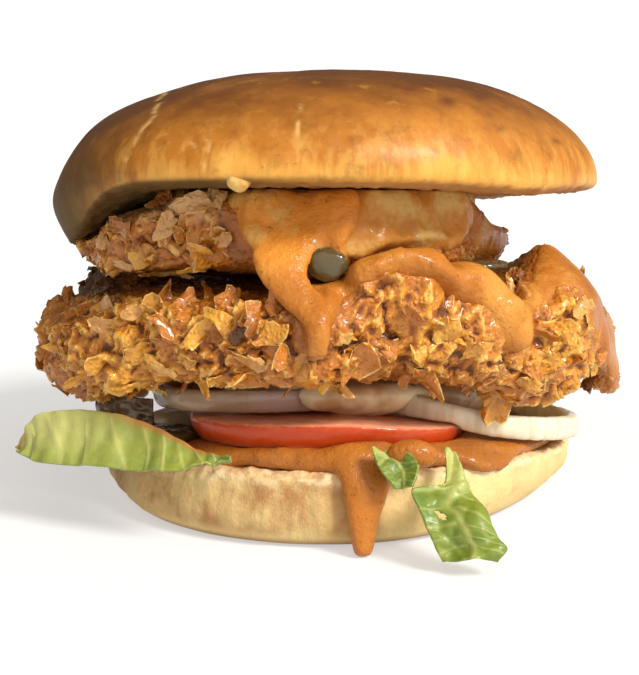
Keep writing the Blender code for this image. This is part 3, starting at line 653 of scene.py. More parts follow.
def all_solids(*left_out):
    """One tree of every node's solid but these."""
    points, faces = [], []
    for name, node in frame["nodes"].items():
        if name in left_out:
            continue
        skin = Skin(node.data)
        faces.append(skin.faces + sum(map(len, points)))
        points.append(skin.points)
    return BVHTree.FromPolygons(np.concatenate(points).tolist(), np.concatenate(faces).tolist())


def upper_lift(x, y, z):
    """Fills out the underside of the upper fillet's right end and lifts its front left edge to the bun."""
    return 2.6 * ease(-x, 14, 20) * ease(x, -34, -28) * ease(-y, 12, 24) * ease(z, 58, 63) \
        + ease(x, 16, 24) * (4.2 * ease(z, 59, 62) - 2.6 * ease(z, 62, 59))


def lower_lift(x, y, z):
    """Raises the front right mound's crest into an even ridge."""
    crest = 2.4 * ease(x, 1, 5) * ease(-x, -28, -22) + 1.8 * bell(x - 19, 4)
    return crest * ease(-y, 30, 40) * ease(z, 42, 50)


def openness(skin, others, rays=7):
    """How much of the space in front of each point is free, from 0 to 1."""
    facing = skin.normals()
    rng = np.random.default_rng(11)
    free = np.zeros(len(skin.points))
    for lean in unit(rng.normal(size=(rays, 3))):
        ways = unit(facing + 0.9 * lean)
        starts = skin.points + 1.2 * MM * facing
        for i in range(len(starts)):
            if others.ray_cast(starts[i].tolist(), ways[i].tolist(), 45 * MM)[0] is None:
                free[i] += 1
    return free / rays


def nearness(points, node, reach):
    """1 where a point touches this node, falling to 0 at the reach."""
    tree = all_solids(*(set(frame["nodes"]) - {node}))
    found = np.zeros(len(points))
    for i, place in enumerate(points):
        distance = tree.find_nearest(place.tolist(), reach)[3]
        if distance is not None:
            found[i] = 1 - distance / reach
    return found


def coating_finish(name, coating, sauce, loose):
    """Fried coating: painted red-brown shade in the hollows, amber on the plates and yellow at thin rims."""
    paint = Finish(name, 0.26, shine=0.4, coat=(0.6 if loose else 0.35, 0.05),
                   depth=(0.12, 0.002, (1.0, 0.35, 0.08)))
    region = paint.grain(9 * MM, 3.0, 0.6)
    mottle = paint.grain(2.6 * MM, 5.0, 0.65)
    label, own, shared = ("tone", 0.55, 0.55) if loose else ("proud", 0.45, 0.65)
    tone = paint.calc("ADD", paint.times(paint.mark(label), own), paint.times(region, shared))
    if loose:
        patchy = paint.span(mottle, 0.60, 0.42, 0.1, 0.9)
        rim = paint.times(paint.span(paint.mark("edge"), 0.72, 1.0), patchy)
    else:
        rim = paint.span(paint.mark("proud"), 0.84, 1.0, 0.0, 0.45)
    tone = paint.calc("MULTIPLY_ADD", paint.mark("bright"), 0.22, tone)
    paint.base = paint.blend(paint.span(tone, 0.20, 0.50), coating.brown, coating.amber)
    paint.over(paint.span(tone, 0.60, 0.92), coating.gold)
    paint.over(paint.span(mottle, 0.50, 0.70, 0.0, 0.6), coating.brown)
    paint.over(rim, coating.edge)
    if not loose:
        # Painted shade: darkens the hollows and the places with little open space in front of them
        paint.over(paint.span(paint.mark("proud"), 0.46, 0.08, 0.0, 0.9), coating.deep)
        paint.over(paint.span(paint.mark("open"), 0.7, 0.0, 0.0, 0.45), coating.deep)
    paint.over(paint.mark("dry"), coating.tan)
    # Painted shade: darkens the gap between the fillets, the left lump, the notch and a few flakes
    paint.over(paint.mark("dim"), (0.055, 0.022, 0.006))
    paint.over(paint.mark("sauced"), sauce.glaze)
    blisters = paint.span(paint.dots(1.0 * MM), 0.6, 0.0)
    normal = paint.relief(paint.grain(2.2 * MM, 5.0, 0.65), 0.9 * MM)
    normal = paint.relief(blisters, 0.22 * MM, normal)
    rough = None if loose else paint.span(paint.mark("proud"), 0.2, 0.6, 0.7, 0.26)
    return paint.done(normal, rough)


def flake_shape(rng, rim=11, bend=0.7):
    """A thin ragged flake, one unit in half breadth: points, faces and how near the rim each point is."""
    turns = np.linspace(0, 2 * math.pi, rim, endpoint=False) + rng.uniform(-0.6, 0.6, rim) * 2 * math.pi / rim
    reach = rng.uniform(0.62, 1.0, rim)
    reach = reach * (
        1 + 0.28 * np.cos(turns - rng.uniform(0, 6)) + 0.14 * np.cos(3 * turns - rng.uniform(0, 6)))
    outer = np.stack([reach * np.cos(turns), rng.uniform(0.5, 0.85) * reach * np.sin(turns)], 1)
    flat = np.concatenate([[(0, 0)], 0.45 * outer, 0.85 * outer, outer])
    curve = rng.uniform(-bend, bend, 3)
    lift = curve[0] * flat[:, 0] ** 2 + curve[1] * flat[:, 1] ** 2 + curve[2] * flat[:, 0] * flat[:, 1]
    lift += 0.08 * np.sin(4 * flat[:, 0] + rng.uniform(0, 6)) \
        + 0.06 * np.sin(6 * flat[:, 1] + rng.uniform(0, 6))
    lift[1 + rim:] += rng.normal(0.02, 0.07, 2 * rim)
    half = np.array([0.10] + [0.09] * rim + [0.045] * rim + [0.0] * rim)
    top, under = (np.column_stack([flat, lift + side * half]) for side in (1, -1))
    faces = []
    for k in range(rim):
        n = (k + 1) % rim
        faces.append((0, 1 + k, 1 + n))
        for inner, outer in ((1, 1 + rim), (1 + rim, 1 + 2 * rim)):
            faces.append((inner + k, outer + k, outer + n))
            faces.append((inner + k, outer + n, inner + n))
    faces += [tuple(v + len(top) if v <= 2 * rim else v for v in face[::-1]) for face in faces]
    edge = [0.0] + [0.1] * rim + [0.6] * rim
    return np.concatenate([top, under[:1 + 2 * rim]]), faces, np.array(edge + [1.0] * rim + edge)


def flake_mesh(rng, finish, rim):
    places, faces, edge = flake_shape(rng, rim)
    return new_mesh("flake", places, faces, finish, {"edge": edge})


def placed_flakes(name, ground, spots, rng, finish):
    """Single flakes on the ground.

    Each spot is x and z on the sheet, half length, half height, roll, lean and marks."""
    tree = BVHTree.FromPolygons(ground.points.tolist(), ground.faces.tolist())
    usual = {"tone": 0.5, "dry": 0.0, "dim": 0.0}
    points, faces, marks = [], [], {key: [] for key in ("edge", *usual)}
    for x, z, long, tall, roll, lean, given in spots:
        aim = np.array([x * MM, SHEET, z * MM]) - EYE
        hit, facing = tree.ray_cast(EYE.tolist(), aim.tolist())[:2]
        if hit is None:
            along = [EYE + aim * far for far in np.linspace(0.98, 1.22, 13)]
            found = [tree.find_nearest(place.tolist()) for place in along]
            hit, facing = min(found, key=lambda one: one[3])[:2]
        out = unit(0.45 * np.array(facing) - 0.55 * aim / np.linalg.norm(aim))
        level = unit(np.cross((0, 0, 1), out))
        axes = Matrix([level, np.cross(out, level), out]).transposed()
        axes = axes @ Matrix.Rotation(math.radians(roll), 3, "Z") @ Matrix.Rotation(math.radians(lean), 3, "X")
        shape, sides, edge = flake_shape(rng, 17, 0.45)
        shape = shape * (long, 1.35 * tall, 0.5 * (long + tall)) * MM
        faces += [tuple(v + sum(map(len, points)) for v in side) for side in sides]
        points.append(shape @ np.array(axes).T + np.array(hit) + 0.9 * MM * out)
        for key, value in {"edge": edge, **usual, **given}.items():
            marks[key].append(value + np.zeros(len(shape)))
    marks = {key: np.concatenate(values) for key, values in marks.items()}
    mesh = new_mesh(name, np.concatenate(points), faces, finish, marks)
    return settle(linked(name, crisp_edged(mesh)), "crumb_coating")


def crumb_mesh(rng, finish):
    def grow(shape):
        bmesh.ops.create_icosphere(shape, subdivisions=1, radius=1.0)
        for vert in shape.verts:
            vert.co = vert.co * rng.uniform(0.55, 1.15)
            vert.co.z *= 0.6
    mesh = reshaped(bpy.data.meshes.new("crumb"), grow)
    mark_mesh(mesh, {"edge": np.full(len(mesh.vertices), 0.5)})
    mesh.materials.append(finish)
    return mesh


def kinds_collection(name, meshes):
    made = bpy.data.collections.new(name)
    bpy.context.scene.collection.children.link(made)
    for k, mesh in enumerate(meshes):
        made.objects.link(bpy.data.objects.new(f"{name}_{k}", mesh))
    return made


def drop_collection(made):
    for thing in list(made.objects):
        bpy.data.objects.remove(thing)
    bpy.data.collections.remove(made)


def scatter_tree():
    """Spreads the members of a collection over a surface, at random turns and sizes."""
    tree = bpy.data.node_groups.new("scatter_flakes", "GeometryNodeTree")
    face = tree.interface
    for name, kind, given in (
        ("Surface", "Geometry", {}), ("Kinds", "Collection", {}), ("Finish", "Material", {}),
        ("Spacing", "Float", {"subtype": "DISTANCE", "default_value": 2 * MM}),
        ("Most per area", "Float", {"default_value": 1e5}),
        ("Smallest", "Float", {"subtype": "DISTANCE", "default_value": 2 * MM}),
        ("Largest", "Float", {"subtype": "DISTANCE", "default_value": 5 * MM}),
        ("Tilt", "Float", {"subtype": "ANGLE", "default_value": 0.9}),
        ("Seed", "Int", {"default_value": 1}),
    ):
        made = face.new_socket(name=name, in_out="INPUT", socket_type="NodeSocket" + kind)
        for key, value in given.items():
            setattr(made, key, value)
    face.new_socket(name="Flakes", in_out="OUTPUT", socket_type="NodeSocketGeometry")

    def node(kind, inputs, **settings):
        return add_node(tree, kind, inputs, **settings)

    given = tree.nodes.new("NodeGroupInput").outputs
    room = node("GeometryNodeInputNamedAttribute", {"Name": "room"}, data_type="FLOAT").outputs[0]
    spread = node("GeometryNodeDistributePointsOnFaces", {
        "Mesh": given["Surface"], "Distance Min": given["Spacing"], "Density Max": given["Most per area"],
        "Density Factor": room, "Seed": given["Seed"]}, distribute_method="POISSON")
    low = node("ShaderNodeMath", {0: given["Tilt"], 1: -1.0}, operation="MULTIPLY").outputs[0]
    least = node("ShaderNodeCombineXYZ", {0: low, 1: low, 2: -math.pi}).outputs[0]
    most = node("ShaderNodeCombineXYZ", {0: given["Tilt"], 1: given["Tilt"], 2: math.pi}).outputs[0]
    lean = node("FunctionNodeRandomValue", {0: least, 1: most, "Seed": given["Seed"]},
                data_type="FLOAT_VECTOR").outputs[0]
    turned = spread.outputs["Rotation"]
    for kept in ((0, 0, 1), (1, 1, 0)):  # first the spin about the flake's own upright axis, then the lean
        part = node("ShaderNodeVectorMath", {0: lean, 1: kept}, operation="MULTIPLY").outputs[0]
        part = node("FunctionNodeEulerToRotation", {0: part}).outputs[0]
        turned = node("FunctionNodeRotateRotation", {0: turned, 1: part}, rotation_space="LOCAL").outputs[0]
    chance = node("FunctionNodeRandomValue", {2: 0.0, 3: 1.0, "Seed": 77}, data_type="FLOAT").outputs[1]
    skewed = node("ShaderNodeMath", {0: chance, 1: 1.6}, operation="POWER").outputs[0]
    size = node("ShaderNodeMapRange", {
        "Value": skewed, "To Min": given["Smallest"], "To Max": given["Largest"]}).outputs["Result"]
    kinds = node("GeometryNodeCollectionInfo", {
        "Collection": given["Kinds"], "Separate Children": True, "Reset Children": True}).outputs[0]
    placed = node("GeometryNodeInstanceOnPoints", {
        "Points": spread.outputs["Points"], "Instance": kinds, "Pick Instance": True,
        "Rotation": turned, "Scale": size})
    tone = node("FunctionNodeRandomValue", {2: 0.0, 3: 1.0, "Seed": 5}, data_type="FLOAT").outputs[1]
    toned = node("GeometryNodeStoreNamedAttribute", {
        "Geometry": placed.outputs[0], "Name": "tone", "Value": tone}, data_type="FLOAT", domain="INSTANCE")
    real = node("GeometryNodeRealizeInstances", {"Geometry": toned.outputs[0]})
    made = node("GeometryNodeSetMaterial", {"Geometry": real.outputs[0], "Material": given["Finish"]})
    tree.links.new(made.outputs[0], tree.nodes.new("NodeGroupOutput").inputs[0])
    return tree


def scattered(name, skin, tree, finish, given):
    """A piece of many flakes on a skin, as one mesh."""
    ground = linked(name, mesh_of(name + "_ground", skin, finish))
    spread = ground.modifiers.new("scatter", "NODES")
    spread.node_group = tree
    asked = ("Finish", "Kinds", "Spacing", "Most per area", "Smallest", "Largest", "Tilt", "Seed")
    given = dict(zip(asked, (finish, *given)))
    for socket in tree.interface.items_tree:
        if socket.in_out == "INPUT" and socket.name in given:
            spread[socket.identifier] = given[socket.name]
    return settle(linked(name, crisp_edged(evaluated(ground))), "crumb_coating")


def coated_core(node, coating, cover, fuller):
    """The coating's ground: fused plates and lumps, with marks for where loose flakes may stand."""
    skin = fine_skin(node, coating.mesh, 3)
    skin.swell(-0.9 * MM)
    points = skin.points.copy()
    skin.points[:, 2] += fuller(*points.T / MM) * MM
    free = openness(skin, all_solids(node))
    depth = cover(skin)
    hidden = ease(depth, -1 * MM, 2 * MM)
    relief = 0.8 * layered(points, 10 * MM, 12)
    for size, steep, seed, fades in ((13, 0.17, 7, 0.5), (6.5, 0.24, 8, 0.6), (3.0, 0.10, 9, 0.9)):
        relief += size * steep * plates(points, size * MM, seed) * (1 - fades * hidden)
    crests = 1.05 * ridges(points, 6.5 * MM, 21) + 0.45 * ridges(points, 3.4 * MM, 23)
    relief += crests * (1 - 0.85 * hidden) - 0.3
    skin.swell(relief * MM * (0.3 + 0.7 * ease(free, 0.0, 0.35)))
    soft = skin.copy().relax(12)
    proud = ((skin.points - soft.points) * skin.normals()).sum(1)
    x, z = on_sheet(points).T / MM
    crowded = 0.35 + 0.65 * bell(x + 15, 14) * bell(z - 44, 9)
    bright = np.maximum(bell(x + 38, 9) * bell(z - 37, 7), bell(x - 20, 6) * bell(z - 41, 5))
    bright = np.maximum(bright, bell(x - 42, 7) * bell(z - 39, 9))
    skin.marks = {
        "proud": np.clip(0.5 + proud / (0.8 * MM), 0, 1),
        "bright": bright,
        "open": ease(free, 0.05, 0.6),
        "room": crowded * ease(free, 0.10, 0.45) * ease(depth, 1.0 * MM, -0.5 * MM),
        "sauced": ease(depth, -3 * MM, 0.5 * MM) * 0.7,
    }
    return skin, depth


def sauce_cover(node, *corners):
    """How far a point lies under a sauce: as drawn in front, and as the solid lies behind."""
    def at(skin):
        points = skin.points
        towards = (unit(EYE - points) * skin.normals()).sum(1)
        front = inside(points + 1.0 * MM * wandering(points, 5 * MM, 140), *corners)
        front = np.minimum(front, (towards + 0.3) * 8 * MM)
        behind = (nearness(points, node, 5 * MM) - 0.55) * 5 * MM
        share = ease(-points[:, 1], -4 * MM, 8 * MM)
        return share * front + (1 - share) * behind
    return at


# ---------------------------------------------------------------- sauces

def sauce_finish(name, base_tint, light_tint, speck_tint, thin_tint, cream_tint=None, spice=0.64):
    paint = Finish(name, 0.28, shine=0.2, coat=(0.2, 0.03), depth=(0.2, 0.0025, (1.0, 0.4, 0.12)))
    flow = paint.grain(6 * MM, 3.0, 0.55, paint.stretched(1, 1, 0.5))
    paint.base = paint.blend(paint.span(flow, 0.35, 0.7), base_tint, light_tint)
    patch = paint.grain(3.5 * MM, 4.0, 0.65)
    paint.over(paint.span(patch, 0.46, 0.66, 0.0, 0.75), thin_tint)
    paint.over(paint.mark("film"), thin_tint)
    # Painted light: a brighter orange on the upper part of the top sauce and on the drip of the spiced sauce,
    # standing for light
    paint.over(paint.mark("sunny"), (0.86, 0.31, 0.04))
    if cream_tint is not None:
        paint.over(paint.mark("cream"), cream_tint)
    specks = paint.grain(0.75 * MM, 2.0, 0.7)
    paint.over(paint.span(specks, spice, spice + 0.08, 0.0, 0.5), speck_tint)
    normal = paint.relief(paint.grain(4.5 * MM, 5.0, 0.62), 1.6 * MM)
    return paint.done(normal)


def cheese_finish(sauce):
    paint = Finish("melted_cheese", 0.34, shine=0.2, coat=(0.15, 0.05), depth=(0.3, 0.003, (1.0, 0.75, 0.35)))
    flow = paint.grain(7 * MM, 4.0, 0.6)
    paint.base = paint.blend(paint.span(flow, 0.42, 0.58, 0.0, 0.95), sauce.cheese, sauce.stain)
    fine = paint.grain(2 * MM, 4.0, 0.7)
    paint.over(paint.span(fine, 0.58, 0.72, 0.0, 0.7), sauce.stain)
    normal = paint.relief(paint.grain(5 * MM, 4.0, 0.55), 1.8 * MM)
    return paint.done(normal)


def mayonnaise_finish(sauce):
    paint = Finish("mayonnaise", 0.25, coat=(0.4, 0.1), depth=(0.4, 0.003, (1.0, 0.7, 0.4)))
    stains = paint.span(paint.grain(6 * MM, 3.0), 0.48, 0.64, 0.0, 0.8)
    paint.base = paint.blend(stains, sauce.mayonnaise, (0.62, 0.33, 0.12))
    return paint.done(paint.relief(paint.grain(3 * MM, 2.0), 0.3 * MM))


def sauce_skin(node, sauce, lumps=0.7, seed=0):
    """A sauce or dressing as its solid lies, with soft hills."""
    skin = fine_skin(node, sauce.mesh, 4)
    skin.swell(sauce.swell + lumps * MM * layered(skin.points, 6 * MM, 40 + seed)).relax(2)
    return skin.lift_over(OVER_TABLE)


def poured(core, depth, thickness, bead=0.5, softer=9, thin=None, roof=None, hilly=0.45):
    """A sauce over the coating: depth is how far inside the sauce's edge each point lies.

    Where thin is 1 the sauce is only a film that keeps the coating's shape. Under a roof, given as its
    height and slope in millimetres, the top of the sauce is drawn up to it."""
    skin = core.copy()
    smooth = core.copy().relax(softer)
    film = np.zeros(len(skin.points)) if thin is None else thin
    skin.points += (smooth.points - skin.points) * (1 - 0.85 * film)[:, None]
    edge = 1 + bead * bell(depth - 1.6 * MM, 1.3 * MM)
    rise = thickness * np.sqrt(np.clip(depth / (1.5 * MM), 0, 1)) * edge
    rise = rise * (1 - film) + film * 0.55 * MM * ease(depth, 0, 1 * MM)
    hills = (hilly * layered(skin.points, 6 * MM, 44) + 0.12 * noise(skin.points, 1.7 * MM, 46)) * MM
    hills = hills * ease(depth, 0, 3 * MM) * (1 - film)
    skin.swell(rise + hills - 2.2 * MM * np.clip(-depth / (1.4 * MM), 0, 1))
    if roof:
        short = roof[0] * MM - roof[1] * skin.points[:, 1] - skin.points[:, 2]
        front = ease(-skin.points[:, 1], 18 * MM, 30 * MM)
        skin.points[:, 2] += short * ease(depth, 0, 1.5 * MM) * front * ease(short, 6.5 * MM, 3.5 * MM)
    return skin.relax(2)


def run_mesh(stops, halves):
    """A flat-backed rope of sauce through the stops, with (half width, half depth) at each, in millimetres."""
    count, sides = 36, 20
    path, size = smooth_path(stops, count), smooth_path([(w, d, 0) for w, d in halves], count)
    ahead = unit(np.gradient(path, axis=0))
    across = unit(np.cross(ahead, (0, 1, 0)) * (1, 1, 0))
    out = np.cross(ahead, across)
    turn = np.linspace(0, 2 * math.pi, sides, endpoint=False)
    rings = path[:, None] + size[:, None, :1] * np.cos(turn)[None, :, None] * across[:, None] \
        + size[:, None, 1:2] * np.sin(turn)[None, :, None] * out[:, None]
    points = np.concatenate([rings.reshape(-1, 3), path[:1], path[-1:]]) * MM
    faces = []
    for i in range(sides):
        j = (i + 1) % sides
        starts = range(0, (count - 1) * sides, sides)
        faces += [(r + i, r + j, r + sides + j, r + sides + i) for r in starts]
        faces += [(j, i, count * sides), ((count - 1) * sides + i, (count - 1) * sides + j, count * sides + 1)]
    return face_outward(new_mesh("run", points, faces))


def joined(skin, meshes, spacing, rounds=3):
    """One skin round a skin and some closed meshes."""
    base = new_mesh("joined", skin.points, skin.faces.tolist())
    reshaped(base, lambda shape: [shape.from_mesh(mesh) for mesh in meshes])
    return evened(linked("joined", base), spacing, rounds)


# ---------------------------------------------------------------- salad

def onion_finish(salad):
    paint = Finish("onion", 0.2, coat=(0.4, 0.08), depth=(0.6, 0.005, (1.0, 0.85, 0.65)))
    flat = paint.times(paint.axis("Z"), 0.12)
    unrolled = paint.node("ShaderNodeCombineXYZ", {0: paint.mark("around"), 1: flat}).outputs[0]
    lines = paint.grain(0.9 * MM, 3.0, 0.6, unrolled)
    paint.base = paint.blend(paint.span(lines, 0.38, 0.66), salad.onion, salad.onion_line)
    # Painted shade: a grey brown over the onion where it lies in shade, on the left ring's left side and over
    # the strip at the back
    paint.over(paint.times(paint.mark("grey"), 0.8), (0.42, 0.26, 0.155))
    paint.over(paint.mark("lilac"), (0.62, 0.42, 0.38))
    return paint.done(paint.relief(lines, 0.07 * MM))


def ring_skin(node, centre, salad, grey):
    skin = fine_skin(node, salad.mesh, 4, 1)
    bearing, reach = around(skin.points, np.array(centre) * MM)
    skin.swell(0.09 * MM * noise(np.stack([bearing * 20 * MM, 0 * bearing, reach], 1), 1.6 * MM, 50))
    x = skin.points[:, 0] / MM
    lilac = 0.8 * ease(x, -17, -14) * ease(x, -4, -7) * ease(-skin.points[:, 1], 20 * MM, 26 * MM)
    skin.marks = {"around": bearing * 20 * MM, "grey": grey(skin.points[:, 0]), "lilac": lilac}
    return skin


# Painted shade: the onion shreds behind the left leaf are coloured near-black brown for the shade they lie in
def shred_finish():
    paint = Finish("dark_shred", 0.2, coat=(0.7, 0.05))
    mottle = paint.span(paint.grain(2.5 * MM, 4.0, 0.65), 0.4, 0.65)
    paint.base = paint.blend(mottle, (0.085, 0.038, 0.020), (0.17, 0.085, 0.05))
    return paint.done(paint.relief(paint.grain(1.4 * MM, 4.0), 0.3 * MM))


def tomato_finish(salad):
    paint = Finish("tomato", 0.26, shine=0.35, coat=(0.25, 0.06), depth=(0.25, 0.003, (1.0, 0.25, 0.08)))
    fine = paint.grain(1.6 * MM, 4.0, 0.6)
    skin_tint = paint.blend(paint.span(fine, 0.4, 0.8, 0.0, 0.5), salad.tomato, (0.62, 0.11, 0.018))
    flesh = paint.blend(paint.span(fine, 0.35, 0.7), salad.flesh, (0.74, 0.30, 0.17))
    paint.base = paint.blend(paint.mark("cut"), skin_tint, flesh)
    return paint.done(paint.relief(fine, 0.12 * MM))


def pickle_finish(salad):
    paint = Finish("pickle", 0.16, coat=(0.6, 0.05), depth=(0.3, 0.002, (0.8, 0.8, 0.3)))
    paint.base = paint.blend(paint.grain(2 * MM, 4.0, 0.6), salad.pickle, (0.09, 0.06, 0.02))
    return paint.done(paint.relief(paint.grain(1.5 * MM, 3.0), 0.2 * MM))


def leaf_finish(name, rib, blade, deep):
    paint = Finish(name, 0.42, coat=(0.12, 0.15), depth=(0.3, 0.0015, (0.6, 1.0, 0.25)))
    patch = paint.grain(4 * MM, 4.0, 0.6)
    paint.base = paint.blend(paint.span(patch, 0.35, 0.7), blade, deep)
    paint.over(paint.mark("pale"), rib)
    paint.over(paint.times(paint.mark("vein"), 0.5), rib)
    paint.over(paint.mark("smear"), (0.58, 0.21, 0.05))
    paint.over(paint.mark("browned"), (0.45, 0.25, 0.06))
    normal = paint.relief(paint.grain(1.1 * MM, 4.0, 0.6), 0.2 * MM)
    normal = paint.relief(paint.mark("vein"), 0.15 * MM, normal)
    return paint.done(normal)


def smooth_path(stops, count):
    """Evenly shared places on a smooth path through the stops, in millimetres."""
    stops = np.array(stops, float)
    place = np.linspace(0, len(stops) - 1, count)
    k = np.minimum(place.astype(int), len(stops) - 2)
    t = (place - k)[:, None]
    a, b, c, d = (stops[np.clip(k + shift, 0, len(stops) - 1)] for shift in (-1, 0, 1, 2))
    return 0.5 * (2 * b + (c - a) * t + (2 * a - 5 * b + 4 * c - d) * t ** 2 + (3 * b - a - 3 * c + d) * t ** 3)


def leaf_mesh(name, first, last, ruffle, marks, finish, along=110, across=30, thickness=0.45, hole=None):
    """A leaf between two edge paths. ruffle(s, t) is how far it stands off, in millimetres."""
    one, two = smooth_path(first, along), smooth_path(last, along)
    s, t = np.meshgrid(np.linspace(0, 1, along), np.linspace(0, 1, across), indexing="ij")
    sheet = one[:, None] * (1 - t[..., None]) + two[:, None] * t[..., None]
    facing = unit(np.cross(np.gradient(sheet, axis=0), np.gradient(sheet, axis=1)))
    sheet = sheet + facing * ruffle(s, t, sheet.reshape(-1, 3)).reshape(s.shape)[..., None]
    index = np.arange(along * across).reshape(along, across)
    faces = np.stack([index[:-1, :-1], index[1:, :-1], index[1:, 1:], index[:-1, 1:]], -1).reshape(-1, 4)
    if hole is not None:
        gone = hole(s, t)
        faces = faces[~gone[:-1, :-1].reshape(-1)]
    used = np.unique(faces)
    renumber = np.zeros(along * across, int)
    renumber[used] = np.arange(len(used))
    given = marks(s, t)
    given = {label: np.broadcast_to(given[label], s.shape).reshape(-1)[used] for label in given}
    mesh = new_mesh(name, sheet.reshape(-1, 3)[used] * MM, renumber[faces].tolist(), finish, given)
    mesh.shade_smooth()
    source = linked("sheet_" + name, mesh)
    thick = source.modifiers.new("thick", "SOLIDIFY")
    thick.thickness = thickness * MM
    thick.offset = 0
    return face_outward(evaluated(source))


def veins(s, t, count, slant):
    """Side veins that run from the rib to the edge."""
    side = np.abs(t - 0.5) * 2
    wave = (s * count - side * slant + 0.35 * np.sin(9 * s) + 0.12 * np.sin(23 * s + 5 * t)) % 1.0
    return bell(np.minimum(wave, 1 - wave), 0.09) * ease(side, 0.0, 0.15)


# Each leaf's and shred's two edges, as places in millimetres from its tip or left end on.
EDGES = {
    "left_leaf": (
        [(-62.9, -29, 13.9), (-60.4, -30, 17.5), (-57.8, -31.5, 21.2), (-52.4, -33.5, 22.7),
         (-47.2, -35.5, 23.2), (-41.1, -38, 22.9), (-35.1, -40.5, 21.7), (-30.2, -43.5, 20), (-25.2, -47, 18.1),
         (-22, -49.4, 18), (-19, -51, 18.2)],
        [(-62.9, -29.4, 13.4), (-60.0, -33.0, 13.4), (-57.4, -36, 13.1), (-52, -39, 13.4), (-46.8, -41.5, 14),
         (-40.7, -44.5, 14.2), (-34.7, -47.2, 14.5), (-29.7, -49.8, 15.3), (-24.9, -51.5, 16.5),
         (-22.1, -52, 17.2), (-18.9, -52.2, 17.7)]),
    "front_leaf": (
        [(19.9, -47, 18.7), (20.1, -51, 16.3), (19.4, -54.5, 14.9), (13.4, -56.5, 14), (14.7, -58.5, 11.5),
         (16.2, -60.5, 7.9), (17.5, -61.5, 5), (18.6, -62.5, 3.1)],
        [(22.1, -47, 18.3), (23.1, -51, 15.9), (24.4, -54, 13), (25.8, -56.5, 10.7), (27.1, -59.5, 8.7),
         (28.8, -61.5, 6.5), (29.8, -62.5, 5.2), (28.1, -63.5, 3.7)]),
    "small_leaf": (
        [(6.8, -50.6, 19.6), (7.2, -53, 18.4), (8.2, -55, 16.8), (10.4, -57, 15.2)],
        [(8.8, -50.6, 20.2), (12.5, -52.5, 20.3), (14.8, -55, 18), (13.5, -57.2, 14.8)]),
    "left_shred": (
        [(-49.6, -17, 22.4), (-47.6, -19, 22.8), (-45.4, -20, 22.6), (-43.2, -21, 22.9)],
        [(-49.0, -18, 18.6), (-47.4, -20, 17.2), (-45.6, -21, 16.4), (-43.6, -22, 16.0)]),
    "right_shred": (
        [(-44.4, -23, 22.8), (-41.8, -24, 23.4), (-39.2, -24, 23.0), (-36.6, -24, 22.8)],
        [(-44.0, -24, 16.2), (-41.6, -25, 15.6), (-39.0, -25, 15.8), (-36.4, -25, 16.6)]),
}


def left_ruffle(s, t, places):
    folds = 0.35 * np.sin(34 * s + 2.2 * t) * (0.25 + 0.9 * t) + 0.18 * np.sin(83 * s + 3.0 * t)
    return (folds - 0.9 * (2 * t - 1) ** 2).reshape(-1) + 0.4 * layered(places, 6.0, 70)


def left_marks(s, t):
    return {"pale": 0.9 * ease(0.62 - s, 0.0, 0.35) * ease(t, 1.1, 0.2),
            "vein": veins(s, 0.5 + t / 2, 11, 0.3),
            "smear": 0.8 * ease(t, 0.20, 0.03) * ease(s, 0.4, 0.6) * ease(s, 0.98, 0.8),
            "browned": 0.75 * ease(s, 0.16, 0.05) * ease(t, 0.45, 0.1)}


def front_ruffle(s, t, places):
    waves = 1.2 * np.cos(5.5 * t + 3 * s) * ease(s, 0.15, 0.5) + 0.6 * np.sin(17 * s + 6 * t)
    return waves.reshape(-1) + 0.8 * layered(places, 4.0, 72)


def front_marks(s, t):
    rib = bell(t - 0.55, 0.05 + 0.25 * ease(0.45 - s, 0, 0.3))
    return {"pale": 0.6 * ease(0.4 - s, 0.0, 0.3), "vein": np.maximum(rib, 0.8 * veins(s, t, 7, 0.8)),
            "smear": 0.0, "browned": 0.0}


def bitten(s, t):
    """The small hole in the front leaf."""
    return ((s - 0.55) / 0.05) ** 2 + ((t - 0.32) / 0.07) ** 2 < 1


def small_ruffle(s, t, places):
    return (1.0 * np.cos(4 * t + 2 * s)).reshape(-1) + 0.6 * layered(places, 3.0, 74)


def crumpled(s, t, places):
    return 1.2 * layered(places, 4.5, 80, 2)


# ---------------------------------------------------------------- operators

class BURGER_OT_buns(bpy.types.Operator):
    """Makes the baked skin and torn crumb of both buns"""
    bl_idname = "burger.buns"
    bl_label = "Buns"

    def execute(self, context):
        bun = context.scene.burger_bun
        piece_of("upper_bun", crown_skin(bun), crown_finish(bun), "bun_crust", "bun_top")
        piece_of("lower_bun", heel_skin(bun), heel_finish(bun), "bun_pale", "bun_bottom")
        return {"FINISHED"}


